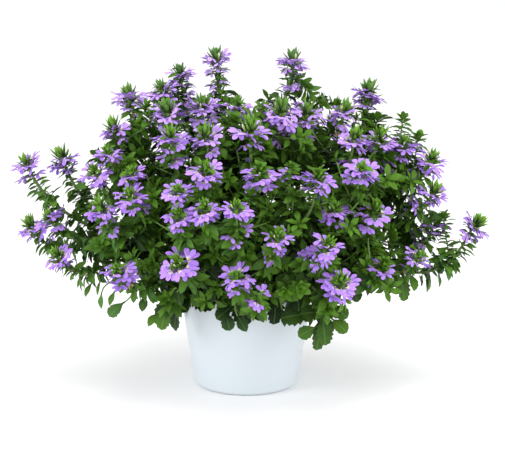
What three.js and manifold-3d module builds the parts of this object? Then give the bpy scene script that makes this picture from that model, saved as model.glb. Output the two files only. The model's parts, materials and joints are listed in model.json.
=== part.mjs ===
// Fan flower (Scaevola) in a plain white pot, in millimetres, +Z up.
// The origin is the middle of the pot's flat underside, and -Y is the side that faces the viewer.
// Leafy stems rise from holes in the potting mix and fork into shoots. Each shoot ends in a tuft of
// young leaves, with a ruff of fan-shaped flowers round the stem just under it.
import * as THREE from 'three';
import { mergeVertices } from 'three/addons/utils/BufferGeometryUtils.js';
import Module from 'manifold-3d';

const wasm = await Module();
wasm.setup();

// Driving dimensions
const POT = { topRadius: 81, baseRadius: 63, height: 118, wall: 2.4, floor: 3.6, corner: 5, sides: 28 };
const MIX = { drop: 10, dome: 4, lump: 1.2, sides: 10 };
const GAP = 0.3;
const STEM = { foot: 3, neck: 6, forks: 0.035, depth: 20, step: 72, leastSteps: 3, bare: 0.15 };
const LEADER = { base: 2.8, tip: 1.9, corners: 4 };
const SIDE = { base: 1.5, tip: 1.7, corners: 3 };
const RUFF = { fans: 5, lobes: 3, hole: 3.35, thick: 2, cup: 0.24, size: 25 };
const TUFT = { tips: 5, radius: 8.5, height: 17 };
const LEAF = { thick: 1.6, clear: 0.4 };
const NARROW = { width: 0.42, droop: 0.2, form: [[0.58, 1]] };
const BROAD = { width: 0.5, droop: 0.3, form: [[0.42, 0.76], [0.52, 0.6], [0.7, 1], [0.86, 0.72]] };
const WHORL = {
  first: 14, spacing: 27, notch: 3.6, rise: 0.35, sway: 0.6,
  length: { start: 25, growth: 5, most: 38, sway: 0.4, cuts: [1, 0.75, 0.5, 0.25] },
  most: { side: 1, alone: 3, leader: 3 },
  alone: { reach: 190, height: 360 },
};
const ROSETTE = { leaves: 4, length: 46, step: 3, rise: 0.15, spiral: 137.5 };
const SEED = 11;

const UP = new THREE.Vector3(0, 0, 1);
const TURN = 2 * Math.PI;

// The planting plan. foot is where a stem leaves the mix. Each shoot is [x, y, z, bloom, size], the place
// of its flowers, and heads with the same bloom number have flowers that touch and hold together. A shoot
// with no bloom ends in a rosette of broad toothed leaves near the pot's rim.
const PLAN = [
  { name: 'left', foot: [-42, 2], shoots: [
    [-260, -10, 270, 1], [-220, 20, 272, 2], [-254, -16, 196, 3, 23], [-228, -40, 212, 3, 23],
    [-220, -62, 168, 4, 22], [-88, -20, 128]] },
  { name: 'upper_left', foot: [-28, 12], shoots: [
    [-142, 26, 340, 5, 23], [-108, 14, 352, 5, 23], [-155, -26, 314, 6, 22], [-156, -58, 298, 6, 24],
    [-176, -62, 262, 7], [-82, 46, 130]] },
  { name: 'front_left', foot: [-34, -20], shoots: [
    [-92, -55, 341, 8], [-86, -104, 318, 9], [-128, -96, 272, 10, 23], [-130, -122, 252, 10, 24],
    [-160, -114, 234, 10, 23], [-148, -125, 172, 11, 24], [-80, -72, 128]] },
  { name: 'front_centre_left', foot: [-16, -34], shoots: [
    [-46, -104, 320, 12], [-47, -146, 290, 13, 24], [-74, -158, 269, 13, 22], [-78, -172, 229, 14, 21],
    [-47, -180, 236, 14, 21], [-77, -168, 186, 15, 27], [-22, -92, 128]] },
  { name: 'front_centre', foot: [6, -38], shoots: [
    [4, -100, 323, 16, 27], [15, -142, 286, 17], [-14, -178, 243, 14, 21], [37, -172, 221, 18, 22],
    [-7, -176, 180, 19, 22], [18, -170, 160, 19, 20], [34, -92, 126]] },
  { name: 'front_right', foot: [26, -28], shoots: [
    [48, -134, 290, 17, 19], [79, -146, 279, 17, 24], [97, -122, 240, 20, 23], [90, -172, 212, 21, 22],
    [104, -160, 160, 22, 27], [88, -112, 120]] },
  { name: 'right_front', foot: [38, -12], shoots: [
    [124, -64, 309, 23, 24], [133, -120, 276, 24, 26], [150, -112, 230, 25], [156, -108, 170, 26, 22],
    [92, -44, 128]] },
  { name: 'right', foot: [42, 6], shoots: [
    [144, 22, 350, 27], [117, -20, 335, 28, 22], [156, -16, 304, 29, 22], [187, 40, 292, 30, 20],
    [218, 8, 278, 31, 22], [220, -28, 238, 32, 22], [268, -28, 200, 33, 24], [228, 0, 196, 34, 20],
    [198, -64, 172, 35, 20], [96, 18, 128]] },
  { name: 'top', foot: [0, 2], shoots: [
    [-36, 22, 392, 36, 23], [-78, 50, 370, 37, 22], [53, 16, 389, 38, 24], [-48, -52, 346, 39],
    [-12, -38, 343, 39, 22], [20, 54, 330, 40, 22], [40, -62, 333, 41], [70, -38, 329, 41, 23]] },
  { name: 'back', foot: [2, 36], shoots: [
    [-6, 150, 296, 42, 24], [32, 142, 300, 42, 24], [-74, 126, 316, 43], [-106, 108, 305, 43, 23],
    [-152, 104, 242, 44, 26], [-62, 180, 232, 45, 24], [-98, 170, 220, 45, 23], [76, 120, 314, 46],
    [106, 98, 302, 46, 23], [138, 124, 244, 47, 26], [24, 184, 226, 48], [60, 176, 218, 48, 23],
    [-46, 84, 130], [48, 84, 130]] },
];

// Seeded random numbers from 0 to 1
function randomFrom(seed) {
  let state = seed;
  return () => {
    state = (state + 0x6d2b79f5) | 0;
    let t = Math.imul(state ^ (state >>> 15), 1 | state);
    t = (t + Math.imul(t ^ (t >>> 7), 61 | t)) ^ t;
    return ((t ^ (t >>> 14)) >>> 0) / 4294967296;
  };
}

// Solids and meshes

// A closed mesh as a solid that can be cut and joined
function solidOf(geometry) {
  const bare = geometry.clone();
  bare.deleteAttribute('normal');
  bare.deleteAttribute('uv');
  const merged = mergeVertices(bare, 1e-4);
  return new wasm.Manifold(new wasm.Mesh({
    numProp: 3,
    vertProperties: new Float32Array(merged.attributes.position.array),
    triVerts: new Uint32Array(merged.index.array),
  }));
}

function solidFrom(points, faces) {
  const geometry = new THREE.BufferGeometry().setFromPoints(points);
  geometry.setIndex(faces.flat());
  return solidOf(geometry);
}

// Solids joined into one body: a hollow that they seal is filled
function fuse(solids) {
  const shells = solids.reduce((sum, solid) => sum.add(solid)).decompose();
  const bodies = shells.filter((shell) => shell.volume() > 0);
  return bodies.length === 1 ? bodies[0] : null;
}

function meshOf(solid, name, material) {
  const { vertProperties, triVerts } = solid.getMesh();
  const geometry = new THREE.BufferGeometry();
  geometry.setAttribute('position', new THREE.BufferAttribute(vertProperties, 3));
  geometry.setIndex(new THREE.BufferAttribute(triVerts, 1));
  geometry.computeVertexNormals();
  const mesh = new THREE.Mesh(geometry, material);
  mesh.name = name;
  return mesh;
}

// What is already in place, so that whatever grows next can be kept clear of it
const placed = [];

function boxOf(solid) {
  const { min, max } = solid.boundingBox();
  return new THREE.Box3(new THREE.Vector3(...min), new THREE.Vector3(...max));
}

function place(solid, owner) {
  placed.push({ solid, owner, box: boxOf(solid) });
  return solid;
}

function isClear(solid, mayTouch) {
  const box = boxOf(solid);
  return placed.every((other) => mayTouch(other) || !other.box.intersectsBox(box)
    || other.solid.intersect(solid).isEmpty());
}

function circlePoints(radius, count) {
  return Array.from({ length: count }, (_, i) => new THREE.Vector2(
    radius * Math.cos(i * TURN / count), radius * Math.sin(i * TURN / count)));
}

function latheSolid(profile, sides) {
  const points = profile.map(([radius, height]) => new THREE.Vector2(radius, height));
  return solidOf(new THREE.LatheGeometry(points, sides).rotateX(Math.PI / 2));
}

function uprightPrism(radius, corners, foot, top) {
  const outline = new THREE.Shape(circlePoints(radius, corners));
  const geometry = new THREE.ExtrudeGeometry(outline, { depth: top - foot.z, bevelEnabled: false });
  return solidOf(geometry.translate(foot.x, foot.y, foot.z));
}

// Pot and potting mix
function potSolid() {
  const { topRadius, baseRadius, height, wall, floor, corner } = POT;
  return latheSolid([
    [0, 0], [baseRadius - corner, 0], [baseRadius - corner * 0.3, corner * 0.25],
    [baseRadius + 0.6, corner * 1.1], [topRadius, height - 0.8], [topRadius - 0.8, height],
    [topRadius - wall, height - 0.4], [baseRadius - wall, floor + corner],
    [baseRadius - wall - corner, floor], [0, floor],
  ], POT.sides);
}

function insideRadius(z) {
  const { topRadius, baseRadius, height, wall, floor, corner } = POT;
  const share = (z - floor - corner) / (height - 0.4 - floor - corner);
  return baseRadius - wall + share * (topRadius - baseRadius);
}

// Where the mix meets the air: a low dome with lumps
function mixTop(x, y) {
  const level = POT.height - MIX.drop;
  const share = 1 - Math.hypot(x, y) / insideRadius(level);
  const lumps = Math.sin(x * 0.31 + 1) * Math.cos(y * 0.27) + Math.sin(x * 0.13 - y * 0.19);
  return level + (MIX.dome + MIX.lump * lumps) * share;
}

function mixSolid(feet) {
  const level = POT.height - MIX.drop;
  const edge = (z) => (insideRadius(z) - GAP) * Math.cos(Math.PI / POT.sides);
  const base = POT.floor + GAP;
  const profile = [[0, base], [edge(POT.floor + POT.corner) - POT.corner, base],
    [edge(POT.floor + POT.corner) - GAP, POT.floor + POT.corner], [edge(level), level],
    [54, level + 1], [28, level + 1], [0, level + 1]];
  const points = profile.map(([radius, height]) => new THREE.Vector2(radius, height));
  const geometry = new THREE.LatheGeometry(points, MIX.sides).rotateX(Math.PI / 2);
  const position = geometry.attributes.position;
  for (let i = 0; i < position.count; i++) {
    if (position.getZ(i) > level + 0.5) position.setZ(i, mixTop(position.getX(i), position.getY(i)));
  }
  const holes = feet.map((foot) => uprightPrism(STEM.foot + 3 * GAP, 5, foot.clone().setZ(foot.z - GAP),
    POT.height));
  return holes.reduce((mix, hole) => mix.subtract(hole), solidOf(geometry));
}

// Stems, with a tuft of young leaves at the tip

// Triangles between two rings of points that run the same way round, from the lower to the upper
function bridge(lower, upper) {
  const faces = [];
  let [i, j] = [0, 0];
  while (i < lower.length || j < upper.length) {
    const [a, b] = [lower[i % lower.length], upper[j % upper.length]];
    if ((i + 1) / lower.length <= (j + 1) / upper.length) {
      i += 1;
      faces.push([a, lower[i % lower.length], b]);
    } else {
      j += 1;
      faces.push([a, upper[j % upper.length], b]);
    }
  }
  return faces.filter(([a, b, c]) => a !== b && b !== c && c !== a);
}

// A stem is straight from one ring of corners to the next
const stepsOf = (path) => Math.max(STEM.leastSteps, Math.round(path.getLength() / STEM.step));

function onStem(path, share) {
  const steps = stepsOf(path);
  const below = Math.min(Math.floor(share * steps), steps - 1);
  return path.getPointAt(below / steps).lerp(path.getPointAt((below + 1) / steps), share * steps - below);
}

// The corners of a stem at any share of its path, between its base and its tip
function stemRings(path, { base, tip, corners }, spare = 0) {
  const steps = stepsOf(path);
  const { normals, binormals, tangents } = path.computeFrenetFrames(steps);
  const spot = (step, { x, y }, ahead) => path.getPointAt(step / steps).addScaledVector(normals[step], x)
    .addScaledVector(binormals[step], y).addScaledVector(tangents[step], ahead);
  const radius = (step) => base + (tip - base) * step / steps + spare;
  const rings = Array.from({ length: steps + 1 }, (_, step) => (
    circlePoints(radius(step), corners).map((corner) => spot(step, corner, 0))));
  const ringAt = (share) => {
    const below = Math.min(Math.floor(share * steps), steps - 1);
    return rings[below].map((corner, i) => corner.clone().lerp(rings[below + 1][i], share * steps - below));
  };
  return { ringAt, ahead: (corner, height) => spot(steps, corner, height), radius: radius(steps) };
}

// A stem follows its path, thinning as it goes, then runs straight for the length of its neck to the
// tuft at its tip. Whorls of leaves are pulled out of its sides.
function stemSolid(path, thickness, tuft, whorls = [], spare = 0) {
  const { ringAt, ahead, radius } = stemRings(path, thickness, spare);
  const steps = stepsOf(path);
  const collar = (LEAF.thick / 2 + spare) / path.getLength();
  const isFree = (share) => whorls.every((whorl) => Math.abs(whorl.share - share) > 2 * collar);
  const levels = Array.from({ length: steps + 1 }, (_, step) => step / steps).filter(isFree)
    .map((share) => ({ share, ring: ringAt(share) }));
  for (const { share, outline } of whorls) {
    levels.push({ share, ring: outline, isWhorl: true });
    for (const edge of [share - collar, share + collar]) levels.push({ share: edge, ring: ringAt(edge) });
  }
  levels.sort((one, other) => one.share - other.share);
  levels.push({ ring: circlePoints(radius, thickness.corners).map((corner) => ahead(corner, STEM.neck)) });
  if (tuft) levels.push({ ring: tuft.map(({ corner, height }) => ahead(corner, STEM.neck + height)) });
  const centre = new THREE.Vector2();
  levels.unshift({ ring: [path.getPointAt(0)] });
  levels.push({ ring: [ahead(centre, STEM.neck + (tuft ? TUFT.height * 0.42 : 0))] });
  const points = [];
  for (const level of levels) level.ids = level.ring.map((point) => points.push(point) - 1);
  const faces = levels.slice(1).flatMap((upper, i) => (levels[i].isWhorl
    ? bridge(upper.ids, levels[i].ids).map((face) => face.reverse())
    : bridge(levels[i].ids, upper.ids)));
  return solidFrom(points, faces);
}

// Pointed tips round a hollow crown
function tuftRing(random) {
  const count = 2 * TUFT.tips;
  return circlePoints(TUFT.radius, count).map((corner, i) => (i % 2
    ? { corner: corner.multiplyScalar(0.5), height: TUFT.height * 0.36 }
    : { corner, height: TUFT.height * (0.8 + 0.4 * random()) }));
}

// A shoot leans outwards, the more so the lower and further out it flowers, and over the rim with none
function shootAxis(at, bloom, random) {
  const out = new THREE.Vector3(at.x, at.y, 0);
  const lean = bloom ? Math.min(0.6, 0.26 * out.length() / (at.z - 40)) + 0.12 * (random() - 0.5) : 1.6;
  const sway = new THREE.Vector3(random() - 0.5, random() - 0.5, 0).multiplyScalar(0.16);
  return UP.clone().addScaledVector(out.normalize(), lean).add(sway).normalize();
}

// Heads whose flowers touch lie in one plane
function levelHeads(heads) {
  const line = heads.at(-1).at.clone().sub(heads[0].at).normalize();
  const axis = heads.reduce((sum, head) => sum.add(head.axis), new THREE.Vector3());
  axis.addScaledVector(line, -axis.dot(line)).normalize();
  for (const head of heads) {
    head.axis = axis;
    head.at.addScaledVector(axis, -axis.dot(head.at.clone().sub(heads[0].at)));
  }
}

// Where on the leading shoot a side shoot forks off: well below the place nearest to its flowers, and
// with some room to the other forks
function forkShare(leader, at, forks) {
  const shares = Array.from({ length: 21 }, (_, i) => i / 20);
  const away = (share) => leader.getPointAt(share).distanceTo(at);
  const nearest = shares.reduce((best, share) => (away(share) < away(best) ? share : best));
  let share = Math.max(0.06, 0.42 * nearest);
  while (forks.some((fork) => Math.abs(fork - share) < STEM.forks)) share += STEM.forks;
  forks.push(share);
  return share;
}

// A shoot's path is bent until its stem is clear of other branches and of all flowers
function clearPath(branch, { at, axis }, from, leaving, thickness, tuft) {
  const neck = at.clone().addScaledVector(axis, -STEM.neck);
  const span = from.distanceTo(neck);
  for (let attempt = 0; attempt < 40; attempt++) {
    const bend = new THREE.Vector3(random() - 0.5, random() - 0.5, random() - 0.6);
    const rising = from.clone().addScaledVector(leaving, 0.42 * span).addScaledVector(bend, attempt * 2);
    const arriving = neck.clone().addScaledVector(axis, -0.36 * span);
    const path = new THREE.CubicBezierCurve3(from, rising, arriving, neck);
    const roomy = stemSolid(path, thickness, tuft, [], GAP);
    if (isClear(roomy, (other) => other.owner === branch)) return path;
  }
  throw new Error(`no clear way on ${branch} to ${at.toArray()}`);
}

// Leaves

// A point of a blade at a share of its length, out to one side, as the blade hangs by its own weight
function bladePoint({ root, along, side, length, width, droop }, share, out, spare = 0) {
  return root.clone().addScaledVector(along, share * length)
    .addScaledVector(side, out * (length * width / 2 + spare))
    .addScaledVector(UP, -droop * length * share * share);
}

// A blade with a keel under its midrib. Its form lists half its outline between the root and the tip,
// as [share of length, share of half width].
function leafSolid(leaf, spare = 0) {
  const { along, side, length, form } = leaf;
  const below = new THREE.Vector3().crossVectors(along, side);
  const spot = (share, out, depth = 0) => bladePoint(leaf, share, out, spare)
    .addScaledVector(below, depth - spare / 2);
  const points = [spot(0, 0), ...form.flatMap(([share, out]) => [spot(share, -out), spot(share, out)]),
    spot(1 + spare / length, 0), spot(0.3, 0, LEAF.thick + spare)];
  const [tip, keel] = [points.length - 2, points.length - 1];
  const faces = [[0, 2, 1], [0, 1, keel], [0, keel, 2]];
  for (let left = 1; left + 2 < tip; left += 2) {
    const [right, nextLeft, nextRight] = [left + 1, left + 2, left + 3];
    faces.push([left, right, nextRight], [left, nextRight, nextLeft]);
    faces.push([left, nextLeft, keel], [nextRight, right, keel]);
  }
  faces.push([tip - 2, tip - 1, tip], [tip - 2, tip, keel], [tip, tip - 1, keel]);
  return solidFrom(points, faces);
}

// The first two of three right-handed axes whose third is the axis given
function acrossAxes(axis, turn) {
  const start = Math.abs(axis.z) > 0.9 ? new THREE.Vector3(1, 0, 0) : UP;
  const first = new THREE.Vector3().crossVectors(start, axis).normalize().applyAxisAngle(axis, turn);
  return [first, new THREE.Vector3().crossVectors(axis, first)];
}

function leafAt(root, axis, out, rise, size) {
  const along = out.clone().multiplyScalar(Math.cos(rise)).addScaledVector(axis, Math.sin(rise));
  return { root, along, side: new THREE.Vector3().crossVectors(out, axis), ...size };
}

// A leaf grows where there is room: it is turned, lifted or kept short until it is clear, or left out
const WAYS = [[0, 0, 1], [0.35, 0.2, 1], [-0.35, 0.2, 1], [0, 0.5, 0.9], [0.7, 0, 0.85], [-0.7, 0, 0.8]];

function addLeaf(branch, stem, root, axis, turn, rise, size) {
  for (const [twist, lift, shorten] of WAYS) {
    const [out] = acrossAxes(axis, turn + twist);
    const leaf = { ...leafAt(root, axis, out, rise + lift, size), length: size.length * shorten };
    if (isClear(leafSolid(leaf, LEAF.clear), (other) => other.solid === stem)) {
      branch.solids.push(place(leafSolid(leaf), branch.name));
      return;
    }
  }
}

// The outline of a whorl of leaves at a share of a stem: one leaf over each corner or, in every second
// whorl, over each side. Each leaf is as long as the room round it allows, and with no room there is no
// whorl.
function whorlOn({ path, stem, thickness }, share, length, order) {
  const ring = stemRings(path, thickness).ringAt(share);
  const [root, axis] = [onStem(path, share), path.getTangentAt(share)];
  const outwards = (point) => point.sub(root).projectOnPlane(axis).normalize();
  const overCorner = (i) => outwards(ring[i % ring.length].clone());
  const overSide = (i) => outwards(ring[i % ring.length].clone().lerp(ring[(i + 1) % ring.length], 0.5));
  const isTurned = order % 2 === 1;
  const outline = [];
  for (let i = 0; i < ring.length; i++) {
    const [out, notch] = isTurned ? [overSide(i), overCorner(i + 1)] : [overCorner(i), overSide(i)];
    const rise = WHORL.rise + WHORL.sway * (random() - 0.5);
    const whole = length * (1 + WHORL.length.sway * (random() - 0.5));
    const leaf = WHORL.length.cuts
      .map((cut) => leafAt(root, axis, out, rise, { ...NARROW, length: whole * cut }))
      .find((blade) => isClear(leafSolid(blade, LEAF.clear), (other) => other.solid === stem));
    if (!leaf) return null;
    const [[widest]] = leaf.form;
    outline.push(bladePoint(leaf, widest, 1), bladePoint(leaf, 1, 0), bladePoint(leaf, widest, -1));
    outline.push(root.clone().addScaledVector(notch, WHORL.notch));
  }
  return { share, outline };
}

// Flowers

// A ruff of fan flowers round a stem: lobes on a ring, parted by deeper cuts between the fans
function ruffSolid({ at, axis, size }, turn, random) {
  const [u, v] = acrossAxes(axis, turn);
  const spot = (radius, share, height) => at.clone().addScaledVector(u, radius * Math.cos(share * TURN))
    .addScaledVector(v, radius * Math.sin(share * TURN)).addScaledVector(axis, height);
  const points = [];
  for (let fan = 0; fan < RUFF.fans; fan++) {
    const cup = RUFF.cup + 0.12 * (random() - 0.5);
    for (let lobe = 0; lobe < RUFF.lobes; lobe++) {
      const share = (fan + (lobe + 0.5) / RUFF.lobes) / RUFF.fans;
      const tip = size * (0.9 + 0.12 * random());
      const notch = size * (lobe === RUFF.lobes - 1 ? 0.42 : 0.7);
      points.push(spot(tip, share, cup * tip));
      points.push(spot(notch, share + 0.5 / RUFF.lobes / RUFF.fans, cup * notch));
    }
  }
  const rim = points.length;
  for (const level of [0.5, -0.5]) {
    for (let fan = 0; fan < RUFF.fans; fan++) {
      points.push(spot(RUFF.hole, (fan + 0.5) / RUFF.fans, level * RUFF.thick));
    }
  }
  const faces = [];
  for (let i = 0; i < rim; i++) {
    const [next, inner] = [(i + 1) % rim, rim + Math.floor(i * RUFF.fans / rim)];
    faces.push([inner, i, next], [inner + RUFF.fans, next, i]);
  }
  for (let fan = 0; fan < RUFF.fans; fan++) {
    const [top, nextTop] = [rim + fan, rim + (fan + 1) % RUFF.fans];
    const [bottom, nextBottom] = [top + RUFF.fans, nextTop + RUFF.fans];
    const between = (fan + 1) * rim / RUFF.fans % rim;
    faces.push([top, between, nextTop], [bottom, nextBottom, between]);
    faces.push([top, nextTop, nextBottom], [top, nextBottom, bottom]);
  }
  return solidFrom(points, faces);
}

// Ruffs are turned until those that touch hold together, clear of every other bloom
function bloomSolid(heads, random) {
  for (let attempt = 0; attempt < 60; attempt++) {
    const bloom = fuse(heads.map((head) => ruffSolid(head, random() * TURN, random)));
    if (bloom && isClear(bloom, () => false)) return bloom;
  }
  throw new Error(`no room for the flowers near ${heads[0].at.toArray()}`);
}

// Places and directions of every shoot
const random = randomFrom(SEED);
const branches = PLAN.map(({ name, foot: [x, y], shoots }) => ({
  name,
  foot: new THREE.Vector3(x, y, mixTop(x, y) - STEM.depth),
  collar: new THREE.Vector3(x, y, mixTop(x, y) + 3),
  solids: [],
  shoots: shoots.map(([sx, sy, sz, bloom, size = RUFF.size]) => {
    const at = new THREE.Vector3(sx, sy, sz);
    return { at, axis: shootAxis(at, bloom, random), bloom, size };
  }),
}));

// Flowers come first, and everything green grows clear of them
const heads = branches.flatMap(({ shoots }) => shoots.filter(({ bloom }) => bloom));
const blooms = Map.groupBy(heads, ({ bloom }) => bloom);
const flowers = [...blooms].sort(([a], [b]) => a - b).map(([bloom, group]) => {
  if (group.length > 1) levelHeads(group);
  const name = `bloom_${bloom}`;
  return { name, solid: place(bloomSolid(group, random), name) };
});
const pot = place(potSolid(), 'pot');
const mix = place(mixSolid(branches.map(({ foot }) => foot)), 'potting_mix');

// Stems fork into shoots
for (const branch of branches) {
  const { name, foot, collar, shoots } = branch;
  branch.solids.push(place(uprightPrism(STEM.foot, 5, foot, collar.z + 2), name));
  const forks = [];
  let leader;
  for (const shoot of shoots) {
    const share = leader ? forkShare(leader, shoot.at, forks) : 0;
    const from = leader ? onStem(leader, share) : collar;
    const upright = new THREE.Vector3(collar.x, collar.y, 70).normalize();
    const rising = leader ? leader.getTangentAt(share) : upright;
    const leaving = shoot.at.clone().sub(from).normalize().addScaledVector(rising, 0.5).normalize();
    const thickness = leader ? SIDE : LEADER;
    const tuft = shoot.bloom && tuftRing(random);
    const path = clearPath(name, shoot, from, leaving, thickness, tuft);
    leader ??= path;
    Object.assign(shoot, { path, thickness, tuft, stem: place(stemSolid(path, thickness, tuft), name) });
  }
}

// Whorls of leaves stand on each flowering shoot, small near its flowers and large below
for (const { name, solids, shoots } of branches) {
  for (const [order, shoot] of shoots.entries()) {
    const { at, path, thickness, tuft, bloom, stem } = shoot;
    const isAlone = Math.hypot(at.x, at.y) > WHORL.alone.reach || at.z > WHORL.alone.height;
    const kind = order ? (isAlone ? 'alone' : 'side') : 'leader';
    const whorls = [];
    for (let i = 0; bloom && i < WHORL.most[kind]; i++) {
      const share = 1 - (WHORL.first + i * WHORL.spacing) / path.getLength();
      if (share < STEM.bare) break;
      const length = Math.min(WHORL.length.start + i * WHORL.length.growth, WHORL.length.most);
      const whorl = whorlOn(shoot, share, length, i);
      const roomy = whorl && stemSolid(path, thickness, tuft, [...whorls, whorl], GAP);
      if (roomy && isClear(roomy, (other) => other.owner === name)) whorls.push(whorl);
    }
    solids.push(whorls.length ? place(stemSolid(path, thickness, tuft, whorls), name) : stem);
  }
}

// A shoot without flowers ends in a rosette of broad leaves
for (const branch of branches) {
  for (const { path, bloom, stem } of branch.shoots) {
    let turn = random() * TURN;
    for (let i = 0; !bloom && i < ROSETTE.leaves; i++) {
      const below = (i + 0.7) * ROSETTE.step;
      const share = 1 - below / path.getLength();
      turn += ROSETTE.spiral * Math.PI / 180;
      addLeaf(branch, stem, onStem(path, share), path.getTangentAt(share), turn, ROSETTE.rise,
        { ...BROAD, length: ROSETTE.length - below });
    }
  }
}

// Scene graph
const POT_WHITE = new THREE.MeshStandardMaterial({ color: 0xe3ebf3, roughness: 0.45, metalness: 0 });
const MIX_BROWN = new THREE.MeshStandardMaterial({ color: 0x3a2a1e, roughness: 1, metalness: 0 });
const LEAF_GREEN = new THREE.MeshStandardMaterial({ color: 0x3f8a24, roughness: 0.55, metalness: 0 });
const FLOWER_PURPLE = new THREE.MeshStandardMaterial({ color: 0xa47be0, roughness: 0.6, metalness: 0 });

const pottedPlant = new THREE.Group();
pottedPlant.add(meshOf(pot, 'pot', POT_WHITE), meshOf(mix, 'potting_mix', MIX_BROWN));
for (const { name, solids } of branches) pottedPlant.add(meshOf(fuse(solids), `stem_${name}`, LEAF_GREEN));
for (const { name, solid } of flowers) pottedPlant.add(meshOf(solid, name, FLOWER_PURPLE));

export default pottedPlant;
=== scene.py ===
"""A potted fan flower: a mound of leafy stems with purple fan-shaped flowers, in a plain white pot.

All sizes are in metres, apart from the places in the plan of the plant, which are in millimetres. +Z is up,
+X to the right as the viewer sees the plant and -Y towards the viewer. The pot stands on its base at the
origin.
"""
import json
import math
import random

import bpy
from mathutils import Matrix, Vector

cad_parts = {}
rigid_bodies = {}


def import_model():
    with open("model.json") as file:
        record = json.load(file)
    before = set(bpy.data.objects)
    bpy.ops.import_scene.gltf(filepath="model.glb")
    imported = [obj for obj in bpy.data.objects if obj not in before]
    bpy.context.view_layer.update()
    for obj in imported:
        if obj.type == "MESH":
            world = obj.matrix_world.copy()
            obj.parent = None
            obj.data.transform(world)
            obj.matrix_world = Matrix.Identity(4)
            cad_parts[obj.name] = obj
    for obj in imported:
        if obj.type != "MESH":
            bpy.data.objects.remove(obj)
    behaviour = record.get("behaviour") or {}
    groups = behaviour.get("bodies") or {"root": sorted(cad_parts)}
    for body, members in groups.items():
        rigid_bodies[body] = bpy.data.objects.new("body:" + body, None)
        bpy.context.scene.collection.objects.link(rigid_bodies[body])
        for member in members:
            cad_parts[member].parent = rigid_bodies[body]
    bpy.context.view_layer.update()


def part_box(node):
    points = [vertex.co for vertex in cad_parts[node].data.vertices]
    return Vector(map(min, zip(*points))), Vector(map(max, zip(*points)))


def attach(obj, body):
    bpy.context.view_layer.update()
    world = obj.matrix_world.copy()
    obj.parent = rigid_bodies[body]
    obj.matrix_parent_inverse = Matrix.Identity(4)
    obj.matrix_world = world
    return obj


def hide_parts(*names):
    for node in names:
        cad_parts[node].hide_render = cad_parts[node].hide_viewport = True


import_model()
_, POT_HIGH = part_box("pot")
MIX_LOW, MIX_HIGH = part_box("potting_mix")

bl_info = {
    "name": "Potted Fan Flower",
    "version": (1, 0, 0),
    "blender": (4, 5, 0),
    "location": "View3D > Sidebar > Plant",
    "description": "Builds a mounded fan flower with purple blooms in a white pot",
    "category": "Add Mesh",
}

MM = 0.001
UP = Vector((0, 0, 1))
TURN = 2 * math.pi
SPIRAL = math.radians(137.5)

# Plan of the plant

# The draws for the small turns of the heads, and the common reach of a head's flowers in millimetres
PLAN_SEED = 11
HEAD_SIZE = 25

# Each branch has the place of its foot in the mix and its shoots, as (x, y, z, bloom, size): the place of a
# flower head, the number of the bloom that it belongs to and the reach of its flowers. The first shoot leads
# and the others fork off it. A shoot without a bloom ends in a rosette of broad leaves near the rim.
PLAN = {
    "left": ((-42, 2), [
        (-260, -10, 270, 1), (-220, 20, 270, 2), (-255, -15, 195, 3, 23), (-230, -40, 210, 3, 23),
        (-220, -60, 170, 4, 22), (-90, -20, 130)]),
    "upper_left": ((-28, 12), [
        (-140, 25, 345, 5, 25), (-100, 15, 355, 5, 23), (-155, -25, 315, 6, 22), (-160, -60, 295, 6, 21),
        (-175, -60, 270, 7), (-80, 45, 130)]),
    "front_left": ((-34, -20), [
        (-90, -55, 340, 8), (-85, -105, 320, 9), (-130, -95, 275, 10, 21), (-130, -120, 255, 10, 23),
        (-165, -115, 240, 10, 22), (-145, -125, 170, 11, 24), (-80, -70, 130)]),
    "front_centre_left": ((-16, -34), [
        (-45, -105, 320, 12), (-45, -145, 290, 13, 24), (-75, -160, 270, 13, 22), (-75, -170, 245, 14, 22),
        (-45, -180, 255, 14, 22), (-75, -170, 190, 15, 27), (-20, -90, 140)]),
    "front_centre": ((6, -38), [
        (5, -100, 325, 16, 27), (15, -140, 285, 17), (-10, -180, 255, 14, 22), (-10, -170, 225, 14, 20),
        (35, -170, 220, 18, 22), (-10, -175, 175, 19, 23), (15, -165, 150, 19, 20), (35, -90, 145)]),
    "front_right": ((26, -28), [
        (50, -135, 290, 17, 19), (80, -145, 280, 17, 24), (100, -120, 240, 20, 25), (90, -170, 210, 21, 22),
        (105, -160, 165, 22, 27), (90, -110, 120)]),
    "right_front": ((38, -12), [
        (125, -65, 310, 23, 24), (130, -120, 285, 24, 26), (145, -110, 235, 25), (155, -110, 170, 26, 22),
        (90, -45, 130)]),
    "right": ((42, 6), [
        (145, 20, 350, 27), (115, -20, 335, 28, 22), (155, -35, 305, 29, 24), (185, -15, 295, 30, 24),
        (185, 0, 265, 30, 20), (220, -5, 275, 31, 24), (220, -30, 240, 32, 22), (270, -30, 200, 33, 24),
        (225, -15, 200, 34, 24), (200, -65, 170, 35, 21), (95, 20, 130)]),
    "top": ((0, 2), [
        (-35, 20, 390, 36, 23), (-80, 50, 370, 37, 22), (55, 15, 390, 38, 24), (-50, -50, 345, 39),
        (-10, -40, 345, 39, 22), (20, 55, 320, 40, 22), (40, -60, 340, 41, 26), (70, -40, 335, 41, 23)]),
    "back": ((2, 36), [
        (-5, 150, 295, 42, 24), (30, 140, 300, 42, 24), (-75, 125, 315, 43), (-105, 110, 305, 43, 23),
        (-150, 105, 240, 44, 26), (-60, 180, 230, 45, 24), (-100, 170, 220, 45, 23), (75, 120, 315, 46),
        (105, 100, 300, 46, 23), (140, 125, 245, 47, 26), (25, 185, 225, 48), (60, 175, 220, 48, 23),
        (-45, 85, 130), (50, 85, 130)]),
}

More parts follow.
